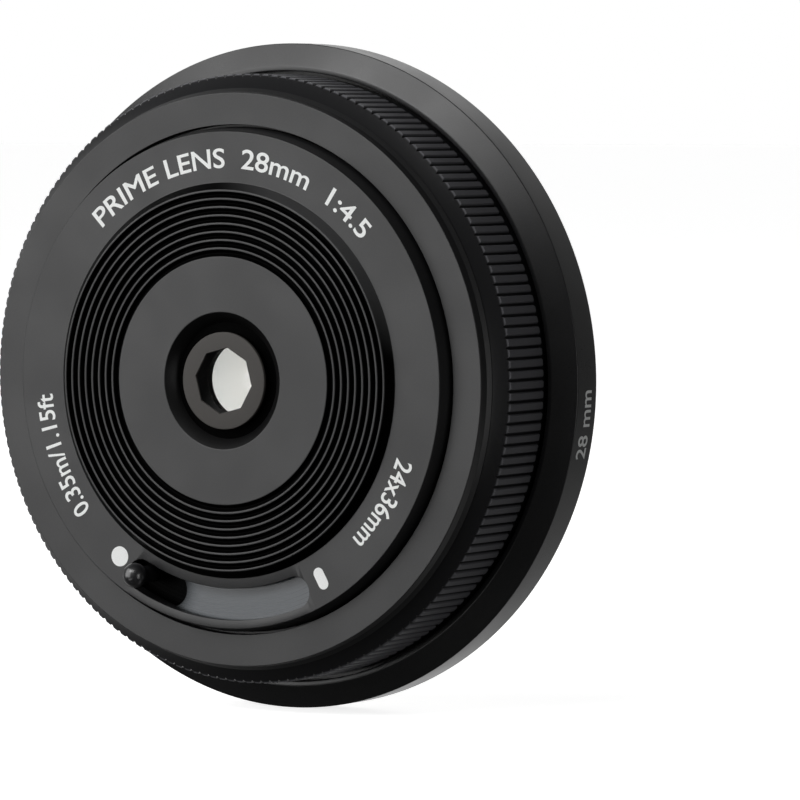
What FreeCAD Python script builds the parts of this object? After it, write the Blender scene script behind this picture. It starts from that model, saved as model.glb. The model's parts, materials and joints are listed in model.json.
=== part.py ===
"""Pancake prime lens: 28 mm, fixed f/4.5 stop, lever-worked cover, moving-coil focus, three-lug bayonet.

Frame, in millimetres: the optical axis is Y, the front of the lens faces -Y and +Z is up. The origin is the
centre of the bayonet's seating face. In this file a depth is the distance in front of that face, so y = -depth,
and a clock angle is measured clockwise from +Z as seen from the front.
"""

import FreeCAD, Part
import math
import os

# ---- driving dimensions ------------------------------------------------------------------------------------
FRONT = 15.3                 # seating face to the front plane
BARREL_RADIUS = 30.15        # rear barrel, the largest radius
BARREL_REAR = 0.7            # depth of the rear barrel's back face
CONE_DEPTHS = (4.12, 5.15)   # rear barrel's cone: foot and lip
LIP_RADIUS = 27.94

GRIP_CREST = 27.35           # over the grip's ribs
GRIP_TAIL = 27.15            # plain part behind the ribs, inside the rear barrel's lip
GRIP_NOSE = 26.1             # front edge of the smooth cone ahead of the ribs
GRIP_BORE = 24.65
GRIP_DEPTHS = (3.1, 11.95)
RIB_DEPTHS = (5.3, 10.95)

RING_EDGE = 25.66            # front ring's outer edge at its flat face
RING_FACE = 13.25
RING_BORE = 22.8
RING_SPIGOT = (22.6, 23.35)

PLATE_FACE = 14.55           # flat of the front cap that carries the marks
PLATE_RADII = (17.67, 22.2)
BOSS_RADIUS = 17.01          # raised grooved boss in the middle of the front cap
DISC_RADIUS = 11.06          # plain disc inside the grooves
RECESS_RADIUS = 6.14         # mouth of the conical recess round the stop
CREST_FIRST = 11.80
CREST_PITCH = 0.734
CREST_COUNT = 8
CREST_HALF = 0.08
GROOVE_DEPTH = 0.32
GROOVE_FLOOR_HALF = 0.05
CAP_WEB = 14.35              # back of the boss
PLATE_WEB = 13.95            # back of the plate
CAP_SKIRT = (21.55, 22.55)

STOP_FACE = 15.03
STOP_RADIUS = 4.35
STOP_CORNER = 2.98           # octagonal stop, centre to corner
STOP_TURN = 7.8              # clock angle of its first corner
STOP_FLANGE = 6.9

SLOT_RADIUS = 20.0           # middle of the lever's slot
LEVER_RADIUS = 19.86         # lever knob
LEVER_OPEN = 207.0           # clock angle of the knob at rest, cover open
LEVER_TRAVEL = 48.0
SLOT_HALF = 1.42
KNOB_RADIUS = 1.12
KNOB_DEPTH = 15.8
STEM_RADIUS = 0.75

RING_PLATE = (12.7, 13.2)    # lever ring, rear and front faces
RING_RIM = (17.9, 21.45, 13.7)
SCOOP_SPAN = 8.5             # hollow in the ring's rim beside the knob, in degrees
HUB_RADIUS = 9.2
HUB_FACE = 13.2
HUB_CLEARANCE = 0.08
BASE_PLATE = (11.6, 12.4)
PUPIL_RADIUS = 3.34          # round throat in the hub, which limits the view past the stop
PUPIL_DEPTHS = (11.75, 12.5)
BASE_RADIUS = 21.4

BLADE = (13.38, 13.68)       # cover blades, rear and front faces
BLADE_PIVOT = 7.9            # pivot's distance from the optical axis
BLADE_SWING = 32.0           # swing while the lever makes its full travel
BLADE_RADIUS = 4.4
BLADE_GAP = 0.03
DRIVE_ARM = 4.9              # pivot to drive pin
DRIVE_CLOSED = 50.0          # drive arm's angle from +X when closed
PIN_RADIUS = 0.4
PIN_CLEARANCE = 0.05
CAM_CLEARANCE = 0.2

SEAT_OUTER = 28.6            # bayonet flange
SEAT_THICK = 1.7
SPIGOT = (20.3, 21.9)
SPIGOT_END = -4.4
SEAT_RELIEF = 23.2
LUG_RADIUS = 22.9
LUG_DEPTHS = (-3.2, -1.5)
LUGS = ((30.0, 50.0), (150.0, 56.0), (270.0, 50.0))
LEDGE = (17.6, -1.2, -0.2)
MOUNT_SCREW_CIRCLE = 26.0
MOUNT_SCREW_CLOCKS = (45.0, 135.0, 225.0, 315.0)

CHASSIS_RADIUS = 24.6
CHASSIS_BORE = 22.6
CHASSIS_WEB = (9.6, 10.6)
CELL_RADIUS = 13.3
CHASSIS_SCREW_CIRCLE = 23.6
CHASSIS_SCREW_CLOCKS = (0.0, 120.0, 240.0)
BASE_SCREW_CIRCLE = 19.0
BASE_SCREW_CLOCKS = (30.0, 150.0, 270.0)
CELL_SCREW_CIRCLE = 21.05
CELL_SCREW_CLOCKS = (60.0, 180.0, 300.0)

FOCUS_TRAVEL = 1.2
ROD_CIRCLE = 12.4
ROD_RADIUS = 0.5
ROD_CLEARANCE = 0.04
ROD_CLOCKS = (90.0, 270.0)

BOARD = (1.9, 2.7)
BOARD_RADII = (15.6, 21.5)
BOARD_SCREW_CIRCLE = 19.2
BOARD_SCREW_CLOCKS = (100.0, 220.0, 320.0)

BAFFLE = (-4.2, -3.7)
BAFFLE_RADII = (13.4, 20.2)
CONTACT_SPAN = 27.0          # half angle of the contact block
CONTACT_RADII = (15.8, 19.2)
CONTACT_COUNT = 10
CONTACT_STEP = 4.9
USB_SIZE = (8.94, 3.2)
USB_CENTRE = 17.0
USB_WALL = 0.3

# Six elements, each: edge radius, front vertex depth, front radius, rear vertex depth, rear radius.
# A positive surface radius has its centre behind the surface.
ELEMENTS = (
    (5.8, 11.2, 22.0, 10.3, 18.0),
    (6.9, 9.7, 30.0, 8.7, 30.0),
    (8.6, 6.6, 40.0, 5.6, 36.0),
    (9.8, 4.9, 60.0, 4.0, 60.0),
    (11.4, 2.9, 60.0, 1.8, 50.0),
    (14.0, 1.2, 45.0, -0.6, 38.0),
)

AXIS = FreeCAD.Vector(0, 1, 0)
ORIGIN = FreeCAD.Vector(0, 0, 0)


# ---- shared shapes -----------------------------------------------------------------------------------------
def point(radius, clock, depth):
    angle = math.radians(clock)
    return FreeCAD.Vector(radius * math.sin(angle), -depth, radius * math.cos(angle))


def turned(profile):
    """Solid of revolution about the optical axis from (radius, depth) corners."""
    corners = [FreeCAD.Vector(radius, -depth, 0) for radius, depth in profile]
    face = Part.Face(Part.makePolygon(corners + corners[:1]))
    return solid_of(face.revolve(ORIGIN, AXIS, 360))


def solid_of(shape):
    solid = shape if shape.ShapeType == "Solid" else shape.Solids[0]
    if solid.Volume < 0:
        solid.reverse()
    return solid


def annulus(inner, outer, rear, front):
    return turned([(inner, rear), (outer, rear), (outer, front), (inner, front)])


def disc(centre_radius, clock, radius, rear, front):
    """Round solid along the optical axis, standing at a clock angle."""
    base = point(centre_radius, clock, front)
    return Part.makeCylinder(radius, front - rear, base, AXIS)


def spun(shape, clock):
    copy = shape.copy()
    copy.rotate(ORIGIN, AXIS, clock)
    return copy


def block(width, height, centre_z, rear, front, centre_x=0.0):
    corner = FreeCAD.Vector(centre_x - width / 2, -front, centre_z - height / 2)
    return Part.makeBox(width, front - rear, height, corner)


def sector(inner, outer, clock, half_angle, rear, front):
    """Part of an annulus that spans half_angle each side of a clock angle."""
    corners = [FreeCAD.Vector(r, -d, 0) for r, d in ((inner, rear), (outer, rear), (outer, front), (inner, front))]
    face = Part.Face(Part.makePolygon(corners + corners[:1]))
    face.rotate(ORIGIN, AXIS, clock - 90 - half_angle)
    return solid_of(face.revolve(ORIGIN, AXIS, 2 * half_angle))


def arc_slot(radius, clock_from, clock_to, half_width, rear, front):
    """Slot that follows a circle about the axis, with round ends."""
    middle = (clock_from + clock_to) / 2
    half = abs(clock_to - clock_from) / 2
    body = sector(radius - half_width, radius + half_width, middle, half, rear, front)
    for clock in (clock_from, clock_to):
        body = body.fuse(disc(radius, clock, half_width, rear, front))
    return body


def cut_all(shape, tools):
    return solid_of(shape.cut(Part.makeCompound(list(tools))))


def fused(shapes):
    return solid_of(shapes[0].multiFuse(shapes[1:]).removeSplitter())


def screw(circle, clock, head_radius, head_depths, shank_radius, shank_end, driver=0.35):
    """Pan screw seen from its head: head_depths run from the drive face inwards, then the shank."""
    face, under = head_depths
    low, high = min(face, under), max(face, under)
    head = disc(circle, clock, head_radius, low, high)
    shank = disc(circle, clock, shank_radius, min(under, shank_end), max(under, shank_end))
    body = head.fuse(shank).removeSplitter()
    sink = 0.6 * abs(under - face)
    inner = face + math.copysign(sink, under - face)
    outer = face - math.copysign(0.1, under - face)
    centre = point(circle, clock, 0)
    arms = []
    for width, height in ((1.3 * head_radius, driver), (driver, 1.3 * head_radius)):
        arms.append(block(width, height, centre.z, min(inner, outer), max(inner, outer), centre.x))
    return cut_all(body, arms)


def screws(circle, clocks, *sizes):
    return Part.makeCompound([screw(circle, clock, *sizes) for clock in clocks])


# ---- front: cap, stop and lens cover -----------------------------------------------------------------------
def groove_profile():
    """Corners of the concentric grooves, from the plain disc's edge out to the boss's edge."""
    corners = [(DISC_RADIUS, FRONT)]
    start = DISC_RADIUS
    for index in range(CREST_COUNT):
        crest = CREST_FIRST + index * CREST_PITCH
        middle = (start + crest - CREST_HALF) / 2
        corners.append((middle - GROOVE_FLOOR_HALF, FRONT - GROOVE_DEPTH))
        corners.append((middle + GROOVE_FLOOR_HALF, FRONT - GROOVE_DEPTH))
        corners.append((crest - CREST_HALF, FRONT))
        start = crest + CREST_HALF
        if index < CREST_COUNT - 1:
            corners.append((start, FRONT))
    corners.append((BOSS_RADIUS, FRONT))
    return corners


def position_marks(depth_low, depth_high):
    """Dot beside the open end of the lever slot and bar beside its closed end."""
    dot = disc(19.85, 215.5, 0.91, depth_low, depth_high)
    bar = block(1.05, 1.0, 19.95, depth_low, depth_high)
    ends = [disc(19.45, 0, 0.525, depth_low, depth_high), disc(20.45, 0, 0.525, depth_low, depth_high)]
    bar = spun(fused([bar] + ends), 150.0)
    return [dot, bar]


def front_cap():
    inner_foot = RECESS_RADIUS - (FRONT - CAP_WEB)
    corners = [(inner_foot, CAP_WEB), (RECESS_RADIUS, FRONT)] + groove_profile()
    corners += [(PLATE_RADII[0], PLATE_FACE), (PLATE_RADII[1], PLATE_FACE), (CAP_SKIRT[1], 13.3)]
    corners += [(CAP_SKIRT[1], BASE_PLATE[0]), (CAP_SKIRT[0], BASE_PLATE[0]), (CAP_SKIRT[0], PLATE_WEB)]
    corners += [(17.3, PLATE_WEB), (17.3, CAP_WEB)]
    slot_end = LEVER_OPEN - LEVER_TRAVEL
    slot = arc_slot(SLOT_RADIUS, slot_end - 0.4, LEVER_OPEN + 0.4, SLOT_HALF, PLATE_WEB - 0.1, PLATE_FACE + 0.1)
    pockets = position_marks(PLATE_FACE - 0.1, PLATE_FACE + 0.1)
    return cut_all(turned(corners), [slot] + pockets)


def octagon(corner_radius, rear, front):
    corners = [point(corner_radius, STOP_TURN + 45 * index, front) for index in range(8)]
    face = Part.Face(Part.makePolygon(corners + corners[:1]))
    return face.extrude(FreeCAD.Vector(0, front - rear, 0))


def aperture_plate():
    flange_face = CAP_WEB
    flange_rear = CAP_WEB - 0.4
    body = turned([(0, flange_rear), (STOP_FLANGE, flange_rear), (STOP_FLANGE, flange_face),
                   (STOP_RADIUS, flange_face), (STOP_RADIUS, STOP_FACE - 0.05), (STOP_RADIUS - 0.05, STOP_FACE),
                   (0, STOP_FACE)])
    relief = turned([(0, flange_rear - 0.1), (3.95, flange_rear - 0.1), (3.1, STOP_FACE - 0.18),
                     (0, STOP_FACE - 0.18)])
    return cut_all(body, [relief, octagon(STOP_CORNER, flange_rear, STOP_FACE + 0.1)])


def cover_base():
    rear, front = BASE_PLATE
    body = turned([(PUPIL_RADIUS + 0.1, rear), (BASE_RADIUS, rear), (BASE_RADIUS, front), (HUB_RADIUS, front),
                   (HUB_RADIUS, HUB_FACE), (4.5, HUB_FACE), (PUPIL_RADIUS, PUPIL_DEPTHS[1]),
                   (PUPIL_RADIUS, PUPIL_DEPTHS[0])])
    holes = [disc(BLADE_PIVOT, clock, PIN_RADIUS, rear - 0.1, HUB_FACE + 0.1) for clock in (0, 180)]
    for clock in BASE_SCREW_CLOCKS:
        holes.append(disc(BASE_SCREW_CIRCLE, clock, 0.6, rear - 0.1, front))
        holes.append(disc(BASE_SCREW_CIRCLE, clock, 1.1, front - 0.5, front + 0.1))
    return cut_all(body, holes)


def drive_pin_at(fraction):
    """Left blade's drive pin, in X and Z, when the cover is closed by a fraction."""
    angle = math.radians(DRIVE_CLOSED - BLADE_SWING * (1 - fraction))
    return DRIVE_ARM * math.cos(angle), BLADE_PIVOT + DRIVE_ARM * math.sin(angle)


def cam_slot():
    """Slot in the lever ring for the left blade's drive pin: an arc through three places of the pin."""
    places = []
    for fraction in (0.0, 0.5, 1.0):
        x, z = drive_pin_at(fraction)
        clock = math.degrees(math.atan2(x, z)) + LEVER_TRAVEL * fraction
        places.append(point(math.hypot(x, z), clock, RING_PLATE[1] + 0.1))
    circle = Part.Arc(*places).toShape().Curve
    centre = circle.Center
    half = PIN_RADIUS + CAM_CLEARANCE
    length = RING_PLATE[1] - RING_PLATE[0] + 0.2
    rims = []
    for radius in (circle.Radius - half, circle.Radius + half):
        rims.append([centre + (place - centre).normalize() * radius for place in places])
    outline = [
        Part.Arc(rims[0][0], rims[0][1], rims[0][2]).toShape(),
        Part.makeLine(rims[0][2], rims[1][2]),
        Part.Arc(rims[1][2], rims[1][1], rims[1][0]).toShape(),
        Part.makeLine(rims[1][0], rims[0][0]),
    ]
    body = Part.Face(Part.Wire(outline)).extrude(AXIS * length)
    ends = [Part.makeCylinder(half, length, place, AXIS) for place in (places[0], places[2])]
    return fused([body] + ends)


def lever_ring():
    rear, front = RING_PLATE
    rim_inner, rim_outer, rim_face = RING_RIM
    inner = HUB_RADIUS + HUB_CLEARANCE
    body = turned([(inner, rear), (rim_outer, rear), (rim_outer, rim_face), (rim_inner, rim_face),
                   (rim_inner - 0.3, front), (inner, front)])
    slot = cam_slot()
    tools = [slot, spun(slot, 180), disc(LEVER_RADIUS, LEVER_OPEN, STEM_RADIUS, rear - 0.1, rim_face + 0.1)]
    tools.append(arc_slot(SLOT_RADIUS, LEVER_OPEN - SCOOP_SPAN, LEVER_OPEN, 1.55, front - 0.2, rim_face + 0.1))
    for clock in (100, 140, 280, 320):
        tools.append(arc_slot(14.2, clock - 12, clock + 12, 1.6, rear - 0.1, front + 0.1))
    return cut_all(body, tools)


def lever_knob():
    centre = point(LEVER_RADIUS, LEVER_OPEN, KNOB_DEPTH)
    ball = Part.makeSphere(KNOB_RADIUS, centre, AXIS)
    stem = disc(LEVER_RADIUS, LEVER_OPEN, STEM_RADIUS, RING_PLATE[0], KNOB_DEPTH)
    return fused([ball, stem])


def cover_blade():
    """Left blade in its closed place, with holes for its pivot and drive pin."""
    rear, front = BLADE
    up = FreeCAD.Vector(0, -front, 0)
    half_disc = Part.makeCylinder(BLADE_RADIUS, front - rear, up, AXIS)
    half_disc = half_disc.cut(block(20, 20, 0, rear - 1, front + 1, 10 - BLADE_GAP))
    arm_corners = [(-BLADE_GAP, 0), (-BLADE_GAP, 4.5), (0.9, 7.2), (-1.1, BLADE_PIVOT), (-4.3, 0.9), (-4.3, 0)]
    corners = [FreeCAD.Vector(x, -front, z) for x, z in arm_corners]
    arm = Part.Face(Part.makePolygon(corners + corners[:1])).extrude(AXIS * (front - rear))
    boss = disc(BLADE_PIVOT, 0, 1.15, rear, front)
    x, z = drive_pin_at(1.0)
    tail_end = Part.makeCylinder(0.9, front - rear, FreeCAD.Vector(x, -front, z), AXIS)
    tail = block(1.7, DRIVE_ARM, DRIVE_ARM / 2, rear, front)
    tail.rotate(ORIGIN, AXIS, 90 - DRIVE_CLOSED)
    tail.translate(FreeCAD.Vector(0, 0, BLADE_PIVOT))
    blade = fused([half_disc, arm, boss, tail, tail_end])
    pivot_hole = disc(BLADE_PIVOT, 0, PIN_RADIUS + PIN_CLEARANCE, rear - 0.1, front + 0.1)
    pin_hole = Part.makeCylinder(PIN_RADIUS, 1, FreeCAD.Vector(x, -front - 0.1, z), AXIS)
    return cut_all(blade, [pivot_hole, pin_hole])


def drive_pin():
    x, z = drive_pin_at(1.0)
    front = BLADE[1]
    return Part.makeCylinder(PIN_RADIUS, front - 12.52, FreeCAD.Vector(x, -front, z), AXIS)


def opened(shape):
    """Swings a closed left blade's part out to the open place, which is the rest pose."""
    copy = shape.copy()
    copy.rotate(FreeCAD.Vector(0, 0, BLADE_PIVOT), AXIS, BLADE_SWING)
    return copy


def pivot_pins():
    return Part.makeCompound([disc(BLADE_PIVOT, clock, PIN_RADIUS, BASE_PLATE[0], 13.85) for clock in (0, 180)])


# ---- barrels -----------------------------------------------------------------------------------------------
def front_ring():
    inner, outer = RING_SPIGOT
    return turned([(RING_BORE, RING_FACE), (RING_EDGE - 0.06, RING_FACE), (RING_EDGE, RING_FACE - 0.06),
                   (25.74, 12.42), (26.08, 12.04), (outer, 12.04), (outer, 10.7), (inner, 10.7), (inner, 12.2),
                   (RING_BORE, 12.2)])


def grip_barrel():
    rear, front = GRIP_DEPTHS
    low, high = RIB_DEPTHS
    return turned([(GRIP_BORE, rear), (GRIP_TAIL, rear), (GRIP_TAIL, low), (GRIP_CREST, low), (GRIP_CREST, high),
                   (GRIP_NOSE, front - 0.06), (GRIP_NOSE - 0.06, front), (GRIP_BORE, front)])


def rear_barrel():
    foot, lip = CONE_DEPTHS
    body = turned([(22.0, SEAT_THICK), (28.75, SEAT_THICK), (28.75, BARREL_REAR), (29.95, BARREL_REAR),
                   (BARREL_RADIUS, BARREL_REAR + 0.2), (BARREL_RADIUS, foot), (LIP_RADIUS + 0.12, lip),
                   (LIP_RADIUS - 0.1, lip), (27.65, lip - 0.2), (27.65, GRIP_DEPTHS[0]), (22.0, GRIP_DEPTHS[0])])
    holes = []
    for clock in MOUNT_SCREW_CLOCKS:
        holes.append(disc(MOUNT_SCREW_CIRCLE, clock, 0.8, SEAT_THICK - 0.1, 2.95))
    for clock in CHASSIS_SCREW_CLOCKS:
        holes.append(disc(CHASSIS_SCREW_CIRCLE, clock, 0.6, SEAT_THICK, GRIP_DEPTHS[0] + 0.1))
        holes.append(disc(CHASSIS_SCREW_CIRCLE, clock, 1.15, SEAT_THICK - 0.1, SEAT_THICK + 0.6))
    holes.append(index_dot())
    return cut_all(body, holes)


def index_dot():
    """White alignment dot let into the top of the rear barrel."""
    base = FreeCAD.Vector(0, -1.7, BARREL_RADIUS - 0.25)
    dot = Part.makeCylinder(0.8, 0.5, base, FreeCAD.Vector(0, 0, 1))
    skin = Part.makeCylinder(BARREL_RADIUS, 4, FreeCAD.Vector(0, -4, 0), AXIS)
    return solid_of(dot.common(skin))


def chassis():
    rear = GRIP_DEPTHS[0]
    web_rear, web_front = CHASSIS_WEB
    rim = RING_SPIGOT[1] + 0.05
    body = turned([(CHASSIS_BORE, rear), (CHASSIS_RADIUS, rear), (CHASSIS_RADIUS, 11.9), (rim, 11.9),
                   (rim, web_front), (21.0, web_front), (21.0, BASE_PLATE[0]), (17.0, BASE_PLATE[0]),
                   (17.0, web_front), (CELL_RADIUS + 0.05, web_front), (CELL_RADIUS + 0.05, web_rear),
                   (CHASSIS_BORE, web_rear), (CHASSIS_BORE, 6.0), (20.5, 6.0), (20.5, 4.0), (CHASSIS_BORE, 4.0)])
    holes = []
    for clock in CHASSIS_SCREW_CLOCKS:
        holes.append(disc(CHASSIS_SCREW_CIRCLE, clock, 0.6, rear - 0.1, 5.0))
    for clock in BASE_SCREW_CLOCKS:
        holes.append(disc(BASE_SCREW_CIRCLE, clock, 0.6, 10.2, BASE_PLATE[0] + 0.1))
    for clock in CELL_SCREW_CLOCKS:
        holes.append(disc(CELL_SCREW_CIRCLE, clock, 0.5, 3.9, 5.4))
    return cut_all(body, holes)


# ---- bayonet and rear face ---------------------------------------------------------------------------------
def bayonet_ring():
    inner, outer = SPIGOT
    ledge_radius, ledge_rear, ledge_front = LEDGE
    body = turned([(inner, SPIGOT_END), (outer - 0.25, SPIGOT_END), (outer, SPIGOT_END + 0.25), (outer, 0.3),
                   (SEAT_RELIEF, 0.3), (SEAT_RELIEF, 0), (SEAT_OUTER - 0.2, 0), (SEAT_OUTER, 0.2),
                   (SEAT_OUTER, SEAT_THICK), (inner, SEAT_THICK), (inner, ledge_front), (ledge_radius, ledge_front),
                   (ledge_radius, ledge_rear), (inner, ledge_rear)])
    low, high = LUG_DEPTHS
    lugs = [sector(outer - 0.3, LUG_RADIUS, clock, width / 2, low, high) for clock, width in LUGS]
    body = fused([body] + lugs)
    tools = [block(USB_SIZE[0] + 0.6, 4.2, USB_CENTRE, ledge_rear - 0.1, ledge_front + 0.1)]
    tools.append(spun(block(2.4, 1.9, 25.2, -0.1, 1.2), 75))
    for clock in MOUNT_SCREW_CLOCKS:
        tools.append(disc(MOUNT_SCREW_CIRCLE, clock, 1.45, -0.1, 0.95))
        tools.append(disc(MOUNT_SCREW_CIRCLE, clock, 0.8, 0.9, SEAT_THICK + 0.1))
    for clock in (75, 285):
        tools.append(disc(18.7, clock, 0.5, ledge_rear - 0.1, ledge_front + 0.1))
    return cut_all(body, tools)


def rear_baffle():
    rear, front = BAFFLE
    inner, outer = BAFFLE_RADII
    body = turned([(inner, rear - 0.12), (inner + 0.7, rear - 0.12), (inner + 0.9, rear), (outer - 0.2, rear),
                   (outer, rear + 0.2), (outer, LEDGE[1]), (outer - 0.8, LEDGE[1]), (outer - 0.8, front),
                   (inner, front)])
    posts = [disc(18.7, clock, 1.0, front - 0.1, LEDGE[1]) for clock in (75, 285)]
    body = fused([body] + posts)
    tools = [sector(CONTACT_RADII[0] - 0.1, CONTACT_RADII[1] + 0.1, 180, CONTACT_SPAN + 0.6, rear - 0.2, front + 0.1)]
    tools.append(block(USB_SIZE[0] + 0.3, USB_SIZE[1] + 0.3, USB_CENTRE, rear - 0.2, front + 0.1))
    for clock in (75, 285):
        tools.append(disc(18.7, clock, 0.5, rear - 0.1, LEDGE[1] + 0.1))
        tools.append(disc(18.7, clock, 0.95, rear - 0.1, rear + 0.45))
    for clock in (180 - 36, 180 + 36):
        tools.append(disc(17.5, clock, 0.5, rear - 0.1, front + 0.1))
    return cut_all(body, tools)


def contact_clocks():
    middle = (CONTACT_COUNT - 1) / 2
    return [180 + (index - middle) * CONTACT_STEP for index in range(CONTACT_COUNT)]


def contact_block():
    """Arc-shaped insulator with a backing flange behind the baffle and a pocket for each contact."""
    inner, outer = CONTACT_RADII
    face = sector(inner, outer, 180, CONTACT_SPAN, BAFFLE[0] - 0.1, BAFFLE[1])
    flange = sector(inner - 0.2, outer, 180, 42, BAFFLE[1], -2.6)
    body = fused([face, flange])
    tools = [spun(block(0.9, 1.7, 17.6, BAFFLE[0] - 0.2, -3.5), clock) for clock in contact_clocks()]
    for clock in (180 - 36, 180 + 36):
        tools.append(disc(17.5, clock, 0.5, BAFFLE[1] - 0.1, -2.5))
    return cut_all(body, tools)


def contact_pads():
    return Part.makeCompound([spun(block(0.9, 1.7, 17.6, BAFFLE[0] - 0.16, -3.5), clock) for clock in contact_clocks()])


def contact_flex():
    """Printed ribbon from the back of the contact block to the board."""
    run = block(7.0, 0.15, -16.4, -2.45, BOARD[0])
    foot = block(7.0, 1.6, -17.125, -2.6, -2.45)
    return fused([run, foot])


def rounded_block(width, height, centre_z, rear, front):
    body = block(width - height, height, centre_z, rear, front)
    ends = []
    for side in (-1, 1):
        base = FreeCAD.Vector(side * (width - height) / 2, -front, centre_z)
        ends.append(Part.makeCylinder(height / 2, front - rear, base, AXIS))
    return fused([body] + ends)


def usb_shell():
    width, height = USB_SIZE
    outer = rounded_block(width, height, USB_CENTRE, BAFFLE[0], BOARD[0])
    hollow = rounded_block(width - 2 * USB_WALL, height - 2 * USB_WALL, USB_CENTRE, BAFFLE[0] - 0.1, BOARD[0] - 0.8)
    return cut_all(outer, [hollow])


def usb_tongue():
    return block(6.7, 0.7, USB_CENTRE, BAFFLE[0] + 0.6, BOARD[0] - 0.8)


def main_board():
    rear, front = BOARD
    body = annulus(BOARD_RADII[0], BOARD_RADII[1], rear, front)
    holes = [disc(BOARD_SCREW_CIRCLE, clock, 0.5, rear - 0.1, front + 0.1) for clock in BOARD_SCREW_CLOCKS]
    return cut_all(body, holes)


def board_chips():
    """Controller, coil driver, memory and two capacitors on the board's rear side."""
    rear = BOARD[0]
    sizes = ((60, 4.0, 3.2, 0.9), (150, 3.0, 2.4, 0.8), (250, 3.4, 3.4, 0.9), (290, 1.6, 0.9, 0.6), (40, 1.6, 0.9, 0.6))
    return Part.makeCompound([spun(block(w, h, 18.2, rear - t, rear), clock) for clock, w, h, t in sizes])


# ---- optics and focus drive --------------------------------------------------------------------------------
def sag(surface_radius, edge_radius):
    size = abs(surface_radius)
    return math.copysign(size - math.sqrt(size ** 2 - edge_radius ** 2), surface_radius)


def element(edge, front_vertex, front_radius, rear_vertex, rear_radius):
    """Glass element turned from its two spherical surfaces and its ground edge."""
    def surface(vertex, radius):
        ends = [(0, vertex), (edge / 2, vertex - sag(radius, edge / 2)), (edge, vertex - sag(radius, edge))]
        return [FreeCAD.Vector(r, -depth, 0) for r, depth in ends]
    front = surface(front_vertex, front_radius)
    rear = surface(rear_vertex, rear_radius)
    edges = [
        Part.Arc(*front).toShape(),
        Part.makeLine(front[2], rear[2]),
        Part.Arc(rear[2], rear[1], rear[0]).toShape(),
        Part.makeLine(rear[0], front[0]),
    ]
    return solid_of(Part.Face(Part.Wire(edges)).revolve(ORIGIN, AXIS, 360))


def front_cell():
    body = turned([(6.6, 9.3), (5.85, 9.3), (5.85, 11.3), (15.6, 11.3), (15.6, 10.8), (CELL_RADIUS, 10.8),
                   (CELL_RADIUS, 9.0), (7.7, 9.0), (7.7, 7.6), (6.95, 7.6), (6.95, 8.95)])
    rods = [disc(ROD_CIRCLE, clock, ROD_RADIUS, 8.9, 10.2) for clock in ROD_CLOCKS]
    return cut_all(body, rods)


def focus_cell():
    """Moving cell: tube for two elements, a web that carries the coil, and two guide sleeves."""
    tube = turned([(9.85, 2.95), (10.7, 2.95), (10.7, 6.8), (8.1, 6.8), (8.1, 6.0), (8.65, 5.8), (8.65, 4.35),
                   (9.85, 4.2)])
    web = annulus(10.6, 16.7, 4.4, 5.2)
    sleeves = [disc(ROD_CIRCLE, clock, 1.25, 3.4, 7.4) for clock in ROD_CLOCKS]
    body = fused([tube, web] + sleeves)
    tools = [disc(ROD_CIRCLE, clock, ROD_RADIUS + ROD_CLEARANCE, 3.3, 7.5) for clock in ROD_CLOCKS]
    for clock in (45, 135, 225, 315):
        tools.append(sector(11.7, 15.0, clock, 22, 4.3, 5.3))
    return cut_all(body, tools)


def focus_coil():
    return annulus(15.7, 16.7, 5.2, 7.4)


def yoke_ring():
    return turned([(14.3, CHASSIS_WEB[0]), (14.3, 6.75), (15.2, 6.75), (15.2, 9.0), (18.9, 9.0), (18.9, 5.4),
                   (19.8, 5.4), (19.8, CHASSIS_WEB[0])])


def guide_rods():
    return Part.makeCompound([disc(ROD_CIRCLE, clock, ROD_RADIUS, 1.6, 10.2) for clock in ROD_CLOCKS])


def rear_cell():
    body = turned([(11.45, 2.8), (14.05, 2.8), (14.05, 4.0), (22.5, 4.0), (22.5, 3.15), (15.2, 3.15),
                   (15.2, -3.6), (14.05, -3.6), (14.05, -1.0), (13.3, -0.72), (13.3, 0.2), (10.9, 0.2),
                   (10.9, 0.42), (11.45, 0.42)])
    holes = [disc(ROD_CIRCLE, clock, ROD_RADIUS, 1.6, 2.9) for clock in ROD_CLOCKS]
    holes += [disc(BOARD_SCREW_CIRCLE, clock, 0.5, 3.1, 3.7) for clock in BOARD_SCREW_CLOCKS]
    for clock in CELL_SCREW_CLOCKS:
        holes.append(disc(CELL_SCREW_CIRCLE, clock, 0.5, 3.1, 4.1))
    return cut_all(body, holes)


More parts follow.
